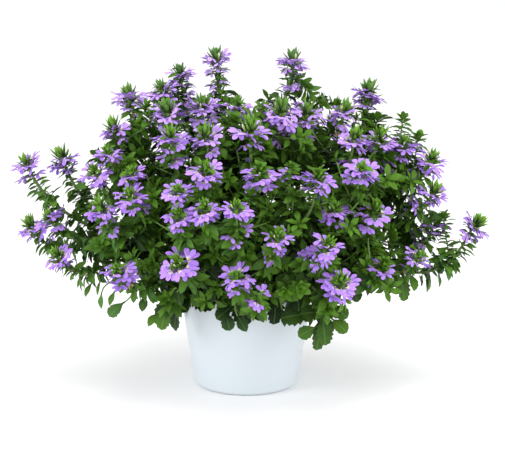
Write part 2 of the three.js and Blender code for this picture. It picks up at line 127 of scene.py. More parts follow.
# How many tiers of older flowers hang on the stem below the heads of a bloom, where there are any
OLDER_TIERS = {5: 2, 8: 1, 9: 1, 10: 1, 18: 2, 21: 3, 23: 1, 29: 1, 30: 2, 31: 3, 32: 3, 34: 2, 35: 1,
               36: 5, 37: 3, 38: 3, 39: 1, 41: 1}

# Flowers in the ruff of a head, where a bloom has fewer than the others
FEWER_FANS = {18: 4, 25: 4, 26: 4, 35: 4}

# How many threes of small leaves grow close along the stem below the heads of some high blooms
LEAFY_STEMS = {5: 4, 27: 5, 36: 8, 37: 5, 38: 8}

# Blooms whose tuft stands in a star of broader leaves
STAR_TIPS = {17, 25, 26, 27}

# Single leaves that hang over the rim and out of the mound, as (x, y, z, lean, kind): the place of the leaf's
# tip, which way it points from its root, in degrees from straight down towards +X, and its kind of leaf
SINGLE_LEAVES = {
    "front_left": [
        (-160, -85, 105, -50, 5), (-120, -100, 115, -10, 3), (-100, -105, 95, -20, 6),
        (-115, -90, 95, -40, 3), (-110, -90, 125, -60, 3), (-75, -110, 125, 15, 4), (-55, -115, 125, 5, 5)],
    "front_centre_left": [
        (-40, -115, 130, 20, 5), (-35, -110, 110, -60, 5), (-20, -110, 95, 10, 5), (0, -115, 95, 30, 4)],
    "front_centre": [(20, -115, 110, 40, 5), (45, -110, 100, 10, 1), (60, -115, 120, 5, 6)],
    "front_right": [
        (75, -110, 110, 15, 3), (60, -135, 95, -65, 5), (90, -135, 85, 5, 6), (115, -135, 100, 50, 5),
        (115, -130, 115, 50, 5)],
    "right_front": [(130, -110, 130, 30, 5), (145, -95, 135, 30, 4), (130, -110, 155, -85, 5)],
    "right": [
        (185, -55, 115, 10, 6), (200, -45, 125, 20, 5), (215, -35, 120, 5, 2), (230, -30, 125, 5, 1),
        (240, -30, 135, 15, 1), (220, -30, 170, -170, 2), (225, -30, 175, -155, 1), (200, -30, 195, 155, 5),
        (205, -30, 185, 35, 5)],
    "left": [
        (-200, -50, 130, -30, 1), (-190, -55, 120, -25, 1), (-175, -65, 125, -10, 0), (-170, -70, 110, 0, 1),
        (-160, -75, 115, -20, 1)],
    "back": [
        (-90, 100, 100, -15, 6), (-70, 110, 100, -10, 5), (-45, 115, 90, 0, 6), (-20, 120, 100, 0, 6),
        (5, 115, 90, 5, 6), (30, 120, 95, 5, 4), (55, 110, 90, 5, 5), (80, 110, 100, 10, 5),
        (95, 105, 105, 15, 6)],
}

# How far some shoots hang below the straight way to their heads, in metres, by bloom
SAGS = {33: 0.045, 34: 0.02}

# Shoots that end in a star of young leaves and have no flowers yet: the places of their ends
GREEN_TIPS = {
    "left": [(-180, -20, 215), (-195, 20, 230), (-170, -60, 185), (-150, -65, 190)],
    "upper_left": [
        (-150, 60, 270), (-110, -30, 330), (-120, 0, 335), (-90, 60, 345), (-175, 10, 275), (-110, 20, 300)],
    "front_left": [
        (-120, -40, 285), (-105, -60, 190), (-125, -60, 220), (-105, -90, 170), (-90, -105, 130),
        (-110, -95, 145), (-135, -50, 210), (-100, -90, 210)],
    "front_centre": [(35, -120, 235), (5, -150, 260)],
    "front_right": [(90, -140, 130), (60, -140, 155), (45, -135, 150)],
    "right_front": [
        (140, -100, 205), (120, -95, 260), (170, -60, 185), (165, -70, 200), (145, -90, 185),
        (145, -90, 265)],
    "right": [
        (155, 5, 320), (185, 0, 320), (205, 15, 295), (150, 60, 310), (205, 25, 260), (235, -20, 205),
        (155, 20, 175), (90, 10, 245), (90, 30, 285), (185, -40, 160), (190, 0, 285), (180, -20, 260),
        (110, 50, 235), (100, 55, 190), (130, 50, 215), (175, -10, 230), (170, -5, 195)],
    "top": [
        (105, 60, 270), (70, 40, 270), (85, 20, 340), (100, 10, 340), (65, 60, 290), (45, 0, 230),
        (55, 60, 215), (100, 0, 310), (80, -20, 310), (80, -40, 280), (65, -30, 295), (-15, -60, 330),
        (20, -70, 300), (65, -60, 300)],
    "back": [
        (-120, 120, 260), (110, 130, 260), (40, 90, 250), (150, 70, 220), (150, 100, 190), (-150, 100, 200),
        (-60, 150, 270), (90, 150, 270), (0, 165, 250), (-110, 140, 200), (110, 140, 180), (0, 150, 190),
        (60, 90, 290), (80, 80, 250), (100, 75, 215), (110, 70, 180), (65, 85, 170), (125, 90, 230),
        (-60, 85, 285), (-100, 75, 235), (-110, 70, 190), (-60, 90, 220),
        (65, 60, 240), (60, 60, 190)],
}

# Settings


def length(name, default, description):
    return bpy.props.FloatProperty(name=name, description=description, default=default, min=0.0,
                                   precision=4, unit="LENGTH")


def colour(name, default, description):
    return bpy.props.FloatVectorProperty(name=name, description=description, default=default, size=3,
                                         min=0.0, max=1.0, subtype="COLOR")


def angle(name, degrees, description):
    return bpy.props.FloatProperty(name=name, description=description, default=math.radians(degrees),
                                   subtype="ANGLE")


def amount(name, default, description):
    return bpy.props.FloatProperty(name=name, description=description, default=default, min=0.0)


def count(name, default, description):
    return bpy.props.IntProperty(name=name, description=description, default=default, min=0)


class PotSettings(bpy.types.PropertyGroup):
    rim_radius: length("Rim Radius", POT_HIGH.x, "Radius of the pot at its rim")
    base_radius: length("Base Radius", 0.063, "Radius of the pot at its foot")
    height: length("Height", POT_HIGH.z, "Height of the pot")
    wall: length("Wall", 0.0024, "Thickness of the wall")
    corner: length("Corner", 0.006, "Radius of the rounded foot")
    shell: colour("Shell", (0.595, 0.652, 0.695), "Colour of the pot")


class MixSettings(bpy.types.PropertyGroup):
    drop: length("Drop", 0.010, "How far the mix lies below the rim at the wall")
    dome: length("Dome", 0.004, "How much higher the mix lies in the middle")
    lump: length("Lumps", 0.0012, "Height of the lumps of its surface")
    crumb: length("Crumb", 0.0022, "Size of a crumb")
    crumbs: amount("Crumbs", 60000, "Crumbs on each square metre")
    peat: colour("Peat", (0.035, 0.022, 0.014), "Colour of the moist peat")
    grit: colour("Grit", (0.42, 0.39, 0.34), "Colour of the pale grit in it")


class StemSettings(bpy.types.PropertyGroup):
    leader: length("Leader", 0.0025, "Radius of a leading shoot at its foot")
    shoot: length("Shoot", 0.0017, "Radius of a side shoot at its foot")
    twig: length("Twig", 0.0011, "Radius of a twig at its foot")
    tip: length("Tip", 0.0018, "Radius of a shoot under its flowers")
    twig_every: length("Twig Interval", 0.018, "Length of shoot between two twigs")
    twig_length: length("Twig Length", 0.056, "Length of a twig")
    young: colour("Young", (0.16, 0.30, 0.06), "Colour of a stem near its tip")
    old: colour("Old", (0.10, 0.13, 0.045), "Colour of a stem near the mix")


class LeafSettings(bpy.types.PropertyGroup):
    spacing: length("Spacing", 0.0012, "Length of stem between two places for leaves on a shoot")
    twig_spacing: length("Twig Spacing", 0.0032, "Length of stem between two places for leaves on a twig")
    rise: angle("Rise", 32, "How far a leaf rises from a level across the stem")
    hang: amount("Hang", 0.22, "Share by which a leaf hangs by its weight")
    face: amount("Face", 0.2, "Share by which a leaf turns its face up")
    size: amount("Size", 1.0, "Size of the leaves")
    # The dark end of a leaf's own tone and of dark patches on the stalks, and also the colour of the painted
    # shade on leaves deep in the mound and low in the tufts
    dark_tone_and_shade: colour("Dark", (0.005, 0.016, 0.002), "Colour of an old leaf")
    light: colour("Light", (0.080, 0.196, 0.010), "Colour of a full-grown leaf")
    cool: colour("Cool", (0.062, 0.160, 0.048), "Colour of a full-grown leaf with a bluish bloom")
    young: colour("Young", (0.100, 0.240, 0.014), "Colour of a young leaf near a tip")
    vein: colour("Vein", (0.170, 0.320, 0.090), "Colour of the midrib and the veins")


class BloomSettings(bpy.types.PropertyGroup):
    size: amount("Size", 1.06, "Size of the flowers")
    fans: count("Fans", 6, "Flowers in the upper tier of a head")
    lower_fans: count("Lower Fans", 3, "Flowers in the tier below it")
    tier: length("Tier", 0.0085, "Distance between two tiers")
    petal: colour("Petal", (0.515, 0.290, 0.880), "Colour of a fresh petal")
    sunlit: colour("Sunlit", (0.700, 0.460, 0.960), "Colour of a petal at the top of the plant")
    deep: colour("Deep", (0.280, 0.120, 0.600), "Colour of its veins and its deeper parts")
    throat: colour("Throat", (0.860, 0.740, 0.180), "Colour of the spot in the throat")
    tube: colour("Tube", (0.150, 0.135, 0.070), "Colour of the flower's tube")
    faded: colour("Faded", (0.120, 0.110, 0.330), "Colour of an old flower")
    dry: colour("Dry", (0.480, 0.350, 0.200), "Colour of a dry flower")


class TipSettings(bpy.types.PropertyGroup):
    bracts: count("Bracts", 5, "Leaves among the flowers of a head")
    outer: count("Outer Leaves", 5, "Leaves in the outer ring of a tip")
    middle: count("Middle Leaves", 6, "Leaves in each of the two middle rings")
    inner: count("Inner Leaves", 3, "Leaves in the inner ring")
    buds: count("Buds", 2, "Buds among the leaves of a tip")
    leaf: colour("Leaf", (0.170, 0.400, 0.012), "Colour of the tip's leaves")
    # The colour of the painted shade on the tufts highest on the plant
    high: colour("High", (0.050, 0.150, 0.020), "Colour of the leaves of the highest tips")
    bud: colour("Bud", (0.520, 0.560, 0.330), "Colour of a bud")


class StageSettings(bpy.types.PropertyGroup):
    distance: length("Distance", 2.13, "How far in front of the pot's axis the camera stands")
    height: length("Height", 0.69, "Height of the camera")
    aside: length("Aside", 0.0074, "How far right of the pot's axis the camera stands and looks")
    aim: length("Aim", 0.183, "Height that the camera looks at")
    lens: bpy.props.FloatProperty(name="Lens", description="Focal length", default=129.7, unit="CAMERA")
    key: amount("Key Light", 22.0, "Power of the key light in watts")
    sky: amount("Sky", 1.04, "Strength of the even light from all around")


class PlantSettings(bpy.types.PropertyGroup):
    pot: bpy.props.PointerProperty(type=PotSettings)
    mix: bpy.props.PointerProperty(type=MixSettings)
    stem: bpy.props.PointerProperty(type=StemSettings)
    leaf: bpy.props.PointerProperty(type=LeafSettings)
    bloom: bpy.props.PointerProperty(type=BloomSettings)
    tip: bpy.props.PointerProperty(type=TipSettings)
    stage: bpy.props.PointerProperty(type=StageSettings)


# Growth

# The straight piece of stem under a head, in millimetres
NECK = 6

# How high over the mix a leading shoot starts, and how steeply it rises: the height of a triangle whose base
# is the distance of its foot from the middle
COLLAR = 0.003
STEEP = 0.070

# How far along its leader a shoot forks, as a share of the way to the nearest place. Forks are at least a
# step apart, by shares of the leader, and never below the lowest place.
FORK = 0.42
FORK_STEP = 0.035
LOWEST_FORK = 0.06

# How stiffly a shoot keeps its way at its two ends, by shares of its span
LEAVING = 0.42
ARRIVING = 0.36

# How far out a shoot leans at its end: for each metre out over its height above the crown, at most, and under
# a rosette. Chance adds to the lean under a head and to the way of every shoot.
CROWN = 0.040
LEAN = 0.4
MOST_LEAN = 0.7
ROSETTE_LEAN = 1.6
LEAN_CHANCE = 0.12
SWAY = 0.16

# The round mass that the twigs fill, in millimetres
MOUND = {"centre": (20, 0, 196), "radii": (208, 166, 162)}

# Twigs: how far along a shoot the first can be and the stretch that holds them, what the shoot's own way, the
# way out and chance count for in theirs, how far their ends rise, and how far over the rim they stay
TWIG_FIRST = 0.16
TWIG_STRETCH = 0.74
TWIG_ALONG = 0.5
TWIG_OUT = 0.55
TWIG_CHANCE = 0.9
TWIG_RISE = 0.12
TWIG_CLEAR = 0.012

# How far from its start the end of a shoot without flowers best lies
GREEN_REACH = 0.055

# Draws with 32-bit arithmetic
WORD = 0x100000000
STRIDE = 0x6D2B79F5


def even_draw(seed):
    """A function that draws numbers from 0 to 1, the same ones in the same order for a seed."""
    full = WORD - 1
    state = seed

    def draw():
        nonlocal state
        state = (state + STRIDE) & full
        mixed = ((state ^ (state >> 15)) * (1 | state)) & full
        mixed = ((mixed + (((mixed ^ (mixed >> 7)) * (61 | mixed)) & full)) & full) ^ mixed
        return (mixed ^ (mixed >> 14)) / WORD

    return draw


class Path:
    """A smooth way from one place to another, measured by shares of its length."""

    STEPS = 40

    def __init__(self, start, rising, arriving, end):
        self.controls = (start, rising, arriving, end)
        self.reached = [0.0]
        spot = start
        for step in range(1, self.STEPS + 1):
            following = self.bezier(step / self.STEPS)
            self.reached.append(self.reached[-1] + (following - spot).length)
            spot = following
        self.length = self.reached[-1]

    def bezier(self, t):
        start, rising, arriving, end = self.controls
        u = 1 - t
        return start * u ** 3 + rising * (3 * u * u * t) + arriving * (3 * u * t * t) + end * t ** 3

    def at(self, share):
        goal = min(max(share, 0.0), 1.0) * self.length
        step = 1
        while step < self.STEPS and self.reached[step] < goal:
            step += 1
        low, high = self.reached[step - 1], self.reached[step]
        return self.bezier((step - 1 + (goal - low) / max(high - low, 1e-9)) / self.STEPS)

    def tangent(self, share):
        return (self.at(min(share + 0.01, 1.0)) - self.at(max(share - 0.01, 0.0))).normalized()


class Shoot:
    """One shoot: its path, and the flower head or the rosette at its end."""

    def __init__(self, at, axis, bloom, size):
        self.at = at
        self.axis = axis
        self.bloom = bloom
        self.size = size / HEAD_SIZE
        self.path = None
        self.leads = False

    def below(self, distance):
        """A place on the stem at a distance below the head, and the stem's direction there."""
        neck = NECK * MM
        if distance <= neck:
            return self.at - self.axis * distance, self.axis
        share = 1 - (distance - neck) / self.path.length
        return self.path.at(share), self.path.tangent(share)


# The gap between the mix and the pot's wall
MIX_GAP = 0.0005


def mix_top(x, y, settings):
    """Height of the mix at a place, in metres."""
    level = settings.pot.height - settings.mix.drop
    share = 1 - math.hypot(x, y) / (MIX_HIGH.x + MIX_GAP)
    lumps = math.sin(x * 310 + 1) * math.cos(y * 270) + math.sin(x * 130 - y * 190)
    return level + (settings.mix.dome + settings.mix.lump * lumps) * share


def shoot_axis(at, bloom, draw):
    """Which way a shoot points at its end: up, leaning out, with a small sway."""
    out = Vector((at.x, at.y, 0))
    lean = ROSETTE_LEAN
    if bloom:
        lean = min(MOST_LEAN, LEAN * out.length / (at.z - CROWN)) + LEAN_CHANCE * (draw() - 0.5)
    sway = Vector((draw() - 0.5, draw() - 0.5, 0)) * SWAY
    return (UP + out.normalized() * lean + sway).normalized()


def level_heads(heads):
    """Turns heads that grow side by side at about one height into one plane."""
    same_height = 0.015
    if max(head.at.z for head in heads) - min(head.at.z for head in heads) > same_height:
        return
    line = (heads[-1].at - heads[0].at).normalized()
    axis = sum((head.axis for head in heads), Vector())
    axis = (axis - line * axis.dot(line)).normalized()
    for head in heads:
        head.axis = axis
        head.at = head.at - axis * axis.dot(head.at - heads[0].at)


def fork_share(leader, at, forks):
    """Where on its leader a shoot forks: well below the nearest place and clear of the other forks."""
    shares = [i / 20 for i in range(21)]
    nearest = min(shares, key=lambda share: (leader.at(share) - at).length)
    share = max(LOWEST_FORK, FORK * nearest)
    while any(abs(fork - share) < FORK_STEP for fork in forks):
        share += FORK_STEP
    forks.append(share)
    return share


def grow_path(shoot, start, leaving):
    neck = shoot.at - shoot.axis * NECK * MM
    span = (neck - start).length
    sag = UP * SAGS.get(shoot.bloom, 0)
    rising = start + leaving * LEAVING * span - sag
    arriving = neck - shoot.axis * ARRIVING * span - sag
    return Path(start, rising, arriving, neck)


def grow_branch(foot, shoots, settings):
    """Gives each shoot of a branch its path. The first rises from the mix, and the others fork off it."""
    x, y = foot[0] * MM, foot[1] * MM
    collar = Vector((x, y, mix_top(x, y, settings) + COLLAR))
    upright = Vector((x, y, STEEP)).normalized()
    leader, forks = None, []
    for shoot in shoots:
        share = fork_share(leader, shoot.at, forks) if leader else 0
        start = leader.at(share) if leader else collar
        rising = leader.tangent(share) if leader else upright
        leaving = ((shoot.at - start).normalized() + rising * 0.5).normalized()
        shoot.path = grow_path(shoot, start, leaving)
        shoot.leads = leader is None
        leader = leader or shoot.path


def grow(settings):
    """All branches of the plant, as lists of shoots by name."""
    draw = even_draw(PLAN_SEED)
    branches = {}
    for name, (_, places) in PLAN.items():
        branches[name] = []
        for x, y, z, *rest in places:
            at = Vector((x, y, z)) * MM
            bloom = rest[0] if rest else None
            size = rest[1] if len(rest) > 1 else HEAD_SIZE
            branches[name].append(Shoot(at, shoot_axis(at, bloom, draw), bloom, size))
    heads = [shoot for shoots in branches.values() for shoot in shoots if shoot.bloom]
    for bloom in sorted({head.bloom for head in heads}):
        group = [head for head in heads if head.bloom == bloom]
        if len(group) > 1:
            level_heads(group)
    for name, (foot, _) in PLAN.items():
        grow_branch(foot, branches[name], settings)
    return branches


def in_mound(place, spare=1.0):
    """Whether a place is inside the mound, or inside a share of its size."""
    centre, radii = MOUND["centre"], MOUND["radii"]
    return sum(((place[i] / MM - centre[i]) / radii[i]) ** 2 for i in range(3)) < spare ** 2


def grow_twigs(shoots, settings, draw):
    """Short leafy twigs that fill the inside of the mound."""
    twigs = []
    for shoot in shoots:
        many = round(shoot.path.length / settings.stem.twig_every)
        for i in range(many):
            share = TWIG_FIRST + TWIG_STRETCH * (i + draw.random()) / many
            start, along = shoot.path.at(share), shoot.path.tangent(share)
            out = Vector((start.x, start.y, 0)).normalized()
            wild = Vector((draw.uniform(-1, 1), draw.uniform(-1, 1), draw.uniform(-0.6, 1)))
            way = (along * TWIG_ALONG + out * TWIG_OUT + wild * TWIG_CHANCE).normalized()
            reach = settings.stem.twig_length * draw.uniform(0.55, 1.25)
            end = start + way * reach + UP * TWIG_RISE * reach
            if not in_mound(end, 0.97) or end.z < settings.pot.height + TWIG_CLEAR:
                continue
            twigs.append(Path(start, start + way * 0.4 * reach, end - (way + UP * 0.5) * 0.3 * reach, end))
    return twigs


def grow_green(name, shoots):
    """Shoots without flowers, each from the nearest well placed spot of its branch."""
    paths = []
    for place in GREEN_TIPS.get(name, ()):
        end = Vector(place) * MM
        spots = [(shoot.path, share / 20) for shoot in shoots for share in range(4, 19)]
        path, share = min(spots, key=lambda spot: abs((spot[0].at(spot[1]) - end).length - GREEN_REACH))
        start = path.at(share)
        span = (end - start).length
        axis = ((end - start).normalized() + UP * 0.8).normalized()
        paths.append(Path(start, start + path.tangent(share) * 0.35 * span, end - axis * 0.35 * span, end))
    return paths


# Shapes


class Shape:
    """Points, faces and pattern places of a mesh that is being built."""

    def __init__(self):
        self.points = []
        self.marks = []
        self.faces = []
        self.sharp = set()

    def add(self, point, mark):
        self.points.append(point)
        self.marks.append(mark)
        return len(self.points) - 1

    def face(self, *corners):
        self.faces.append(corners)

    def mesh(self, name):
        mesh = bpy.data.meshes.new(name)
        mesh.from_pydata([tuple(point) for point in self.points], [], self.faces)
        mesh.shade_smooth()
        places = mesh.uv_layers.new(name="UVMap")
        for loop in mesh.loops:
            places.data[loop.index].uv = self.marks[loop.vertex_index]
        if self.sharp:
            for edge in mesh.edges:
                edge.use_edge_sharp = tuple(sorted(edge.vertices)) in self.sharp
        mesh.update()
        return mesh


def bent(share, reach, bend):
    """Where a strip that bends down evenly is at a share of its length, and which way is up there."""
    if abs(bend) < 0.01:
        return Vector((reach * share, 0, 0)), UP.copy()
    turned = bend * share
    spot = Vector((math.sin(turned), 0, math.cos(turned) - 1)) * (reach / bend)
    return spot, Vector((math.sin(turned), 0, math.cos(turned)))


def add_blade(shape, form, reach, width, columns=(-1, 0, 1), bend=0.3, fold=0.15, wave=0.0, waves=1.5,
              thick=0.0004, place=Matrix.Identity(4), phase=0.0):
    """A closed thin blade along +X. Its form lists half its outline as (share of length, share of width)."""
    rows = []
    for share, half in form:
        spot, up = bent(share, reach, bend)
        row = []
        for column in columns:
            out = column * half * width / 2
            ripple = wave * width * column * math.sin(waves * TURN * share + phase)
            middle = spot + Vector((0, out, 0)) + up * (fold * abs(out) + ripple)
            mark = (0.5 + 0.5 * column * half, share)
            if abs(column) == 1:
                edge = shape.add(place @ middle, mark)
                row.append((edge, edge))
            else:
                lift = up * thick / 2
                upper = shape.add(place @ (middle + lift), mark)
                lower = shape.add(place @ (middle - lift), mark)
                row.append((upper, lower))
        rows.append(row)
    tip, _ = bent(1, reach, bend)
    end = shape.add(place @ tip, (0.5, 1))
    for row, following in zip(rows, rows[1:]):
        for i in range(len(columns) - 1):
            shape.face(row[i][0], following[i][0], following[i + 1][0], row[i + 1][0])
            shape.face(row[i][1], row[i + 1][1], following[i + 1][1], following[i][1])
        for side in (0, -1):
            shape.sharp.add(tuple(sorted((row[side][0], following[side][0]))))
    last, first = rows[-1], rows[0]
    for i in range(len(columns) - 1):
        shape.face(last[i][0], end, last[i + 1][0])
        shape.face(last[i][1], last[i + 1][1], end)
    for side in (0, -1):
        shape.sharp.add(tuple(sorted((last[side][0], end))))
    above = [pair[0] for pair in first]
    beneath = [pair[1] for pair in first[1:-1]]
    shape.face(*above, *reversed(beneath))


def spots_in_mm(*places):
    """Places in the upright plane along a shape, each given as (x, z) in millimetres."""
    return [Vector((x * MM, 0, z * MM)) for x, z in places]


def add_tube(shape, spots, radii, sides, pattern):
    """A closed tube through some spots, with a radius at each. Its pattern places start at a number over 1,
    which tells it from the blades of the same shape."""
    rings = []
    for i, (spot, radius) in enumerate(zip(spots, radii)):
        along = (spots[min(i + 1, len(spots) - 1)] - spots[max(i - 1, 0)]).normalized()
        across = along.cross(Vector((0, 1, 0))).normalized()
        beside = along.cross(across)
        share = i / (len(spots) - 1)
        ring = []
        for side in range(sides):
            turned = TURN * side / sides
            point = spot + (across * math.cos(turned) + beside * math.sin(turned)) * radius
            ring.append(shape.add(point, (pattern + side / sides, share)))
        rings.append(ring)
    for ring, following in zip(rings, rings[1:]):
        for i in range(sides):
            j = (i + 1) % sides
            shape.face(ring[i], ring[j], following[j], following[i])
    shape.face(*reversed(rings[0]))
    shape.face(*rings[-1])


# Half outlines of leaves, and of a flower's lobe, from the root towards the tip
NARROW = [(0, 0.2), (0.2, 0.36), (0.42, 0.88), (0.6, 1), (0.82, 0.56)]
SPOON = [(0, 0.14), (0.24, 0.26), (0.46, 0.84), (0.64, 1), (0.84, 0.6)]
OVAL = [(0, 0.12), (0.16, 0.28), (0.36, 0.86), (0.58, 1), (0.82, 0.62)]
ROUND = [(0, 0.12), (0.24, 0.16), (0.44, 0.66), (0.62, 1), (0.66, 0.88), (0.78, 0.98), (0.82, 0.84),
         (0.92, 0.6)]
BROAD = [(0, 0.1), (0.2, 0.13), (0.34, 0.5), (0.42, 0.82), (0.45, 0.6), (0.55, 1), (0.58, 0.76), (0.69, 1),
         (0.72, 0.76), (0.82, 0.84), (0.85, 0.6), (0.93, 0.54), (0.95, 0.34)]
LANCE = [(0, 0.42), (0.28, 0.84), (0.54, 1), (0.83, 0.52)]
LOBE = [(0, 0.26), (0.26, 0.42), (0.52, 0.86), (0.74, 1), (0.92, 0.66)]

# Leaves from the young narrow ones near a tip to the broad ones near the pot, in that order
LEAVES = (
    dict(form=LANCE, reach=0.0160, width=0.0054, bend=0.2, fold=0.45),
    dict(form=NARROW, reach=0.0200, width=0.0078, bend=0.5, fold=0.35),
    dict(form=SPOON, reach=0.0240, width=0.0095, bend=0.8, fold=0.25, wave=0.03),
    dict(form=OVAL, reach=0.0200, width=0.0110, bend=0.6, fold=0.22, wave=0.03),
    dict(form=OVAL, reach=0.0220, width=0.0135, bend=0.8, fold=0.18, wave=0.04),
    dict(form=ROUND, reach=0.0280, width=0.0170, bend=0.7, fold=0.18, wave=0.04),
    dict(form=BROAD, reach=0.0380, width=0.0215, bend=0.7, fold=0.18, wave=0.06),
)


def leaf_shapes():
    meshes = []
    for order, kind in enumerate(LEAVES):
        shape = Shape()
        add_blade(shape, phase=order * 1.7, **kind)
        meshes.append(shape.mesh(f"leaf_{order}"))
    return meshes


# The slim and the broader leaf of a shoot's tip, which bend up
TIP_LEAVES = (dict(reach=0.0112, width=0.0027, bend=-0.25), dict(reach=0.0152, width=0.0044, bend=-0.35))

# Where the pattern places of buds and tubes start, and those of styles
BUD_PATTERN = 2
STYLE_PATTERN = 4


def tip_shapes():
    """The leaves of a shoot's tip, then a bud."""
    meshes = []
    for order, kind in enumerate(TIP_LEAVES):
        shape = Shape()
        add_blade(shape, LANCE, fold=0.5, thick=0.0006, **kind)
        meshes.append(shape.mesh(f"tip_{order}"))
    bud = Shape()
    spots = spots_in_mm((1, 0), (3, 0.1), (5, 0.3), (7, 0.6), (8.6, 1.0), (9.4, 1.3))
    radii = [0.0006, 0.0007, 0.0011, 0.0013, 0.0010, 0.0004]
    add_tube(bud, spots, radii, 5, BUD_PATTERN)
    meshes.append(bud.mesh("tip_2"))
    return meshes


# How far a flower's throat is from the stem, and its lobes: their length, width and angles
THROAT = 0.0108
LOBE_REACH = 0.0134
LOBE_WIDTH = 0.0054
LOBES = (-80, -40, 0, 38, 78)


def fan_shape(name, draw, worn):
    """One flower: a tube, five lobes spread like a fan, and the curved style over the throat."""
    shape = Shape()
    tube = spots_in_mm((0.6, -3.0), (3.4, -2.2), (7.4, -0.5), (11.6, 0))
    add_tube(shape, tube, [0.0009, 0.0011, 0.0013, 0.0016], 5, BUD_PATTERN)
    style = spots_in_mm((10.4, 0.6), (11.2, 2.4), (12.8, 3.4), (14.0, 2.8))
    add_tube(shape, style, [0.0004, 0.0003, 0.0004, 0.0007], 4, STYLE_PATTERN)
    for order, lean in enumerate(LOBES):
        reach = LOBE_REACH - abs(lean) * 0.00001 + draw.uniform(-0.0014, 0.0008)
        width = LOBE_WIDTH + draw.uniform(-0.0007, 0.0004)
        turn = math.radians(lean + draw.uniform(-7, 7))
        tilt = math.radians(draw.uniform(-22, 16))
        bend = draw.uniform(0.0, 0.7)
        fold = draw.uniform(-0.1, 0.35)
        wave = draw.uniform(0.02, 0.08)
        if worn:
            reach *= 0.8
            width *= 0.45
            bend = draw.uniform(0.8, 2.0)
            fold, wave = 0.8, 0.12
        root = Matrix.Translation((THROAT - 0.0012, 0, 0.0003 * order))
        place = root @ Matrix.Rotation(turn, 4, "Z") @ Matrix.Rotation(tilt, 4, "Y")
        add_blade(shape, LOBE, reach, width, bend=bend, fold=fold, wave=wave, waves=1.2, thick=0.0005,
                  place=place, phase=draw.uniform(0, TURN))
    return shape.mesh(name)


# Kinds of flower: fresh ones, then withered ones
FRESH = 4
WITHERED = 2


def fan_shapes():
    draw = random.Random(5)
    return [fan_shape(f"fan_{i}", draw, worn=i >= FRESH) for i in range(FRESH + WITHERED)]


CRUMB_KINDS = 4
CRUMB_SIDES = 5


def crumb_shapes():
    """Crumbs about one unit in radius, which their places scale down."""
    draw = random.Random(3)
    meshes = []
    for order in range(CRUMB_KINDS):
        shape = Shape()
        start = draw.uniform(0, TURN)
        middle = []
        for i in range(CRUMB_SIDES):
            turned = start + TURN * i / CRUMB_SIDES
            corner = Vector((math.cos(turned), math.sin(turned), draw.uniform(-0.3, 0.3)))
            middle.append(shape.add(corner * draw.uniform(0.7, 1.1), (i / CRUMB_SIDES, 0.5)))
        top = shape.add(Vector((draw.uniform(-0.3, 0.3), 0, draw.uniform(0.5, 0.9))), (0.5, 1))
        foot = shape.add(Vector((0, draw.uniform(-0.3, 0.3), -draw.uniform(0.5, 0.9))), (0.5, 0))
        for i in range(CRUMB_SIDES):
            j = (i + 1) % CRUMB_SIDES
            shape.face(middle[i], middle[j], top)
            shape.face(middle[j], middle[i], foot)
        meshes.append(shape.mesh(f"crumb_{order}"))
    return meshes


def shape_collection(name, meshes):
    """A collection that holds one object for each mesh, in their order and out of sight."""
    collection = bpy.data.collections.new(name)
    for order, mesh in enumerate(meshes):
        collection.objects.link(bpy.data.objects.new(f"{name}_{order:02d}", mesh))
    return collection


def discard_collection(collection):
    for held in list(collection.objects):
        mesh = held.data
        bpy.data.objects.remove(held)
        bpy.data.meshes.remove(mesh)
    bpy.data.collections.remove(collection)


# Node trees


class Tree:
    """Adds nodes to a tree, with their values and links given by socket."""

    def __init__(self, tree):
        self.tree = tree

    def add(self, kind, inputs=(), **settings):
        node = self.tree.nodes.new(kind)
        for name, value in settings.items():
            setattr(node, name, value)
        for key, value in dict(inputs).items():
            socket = node.inputs[key] if isinstance(key, int) else self.find(node, key)
            if isinstance(value, (bpy.types.Node, bpy.types.NodeSocket)):
                self.tree.links.new(as_socket(value), socket)
            else:
                socket.default_value = value
        return node

    @staticmethod
    def find(node, name):
        return next(socket for socket in node.inputs if socket.name == name and socket.enabled)

    def math(self, operation, *values):
        return self.add("ShaderNodeMath", dict(enumerate(values)), operation=operation)

    def vector(self, x, y, z):
        return self.add("ShaderNodeCombineXYZ", {0: x, 1: y, 2: z})

    def spread(self, value, low, high, start=0.0, end=1.0):
        """Maps a value from one range to another and keeps it inside."""
        inputs = {"Value": value, "From Min": low, "From Max": high, "To Min": start, "To Max": end}
        return self.add("ShaderNodeMapRange", inputs)


def as_socket(value):
    """A node's first output, or the output itself."""
    if isinstance(value, bpy.types.Node):
        return next(socket for socket in value.outputs if socket.enabled)
    return value


def sockets(tree, direction, *rows):
    """Adds named sockets to a tree's interface, as (name, kind) or (name, kind, default)."""
    for name, kind, *default in rows:
        socket = tree.interface.new_socket(name=name, in_out=direction, socket_type="NodeSocket" + kind)
        if default:
            socket.default_value = default[0]


def new_tree(name, kind, inputs, outputs):
    tree = bpy.data.node_groups.new(name, kind)
    sockets(tree, "INPUT", *inputs)
    sockets(tree, "OUTPUT", *outputs)
    nodes = Tree(tree)
    return nodes, nodes.add("NodeGroupInput").outputs, nodes.add("NodeGroupOutput").inputs


def attribute(nodes, name, kind="FLOAT"):
    return nodes.add("GeometryNodeInputNamedAttribute", {"Name": name}, data_type=kind)


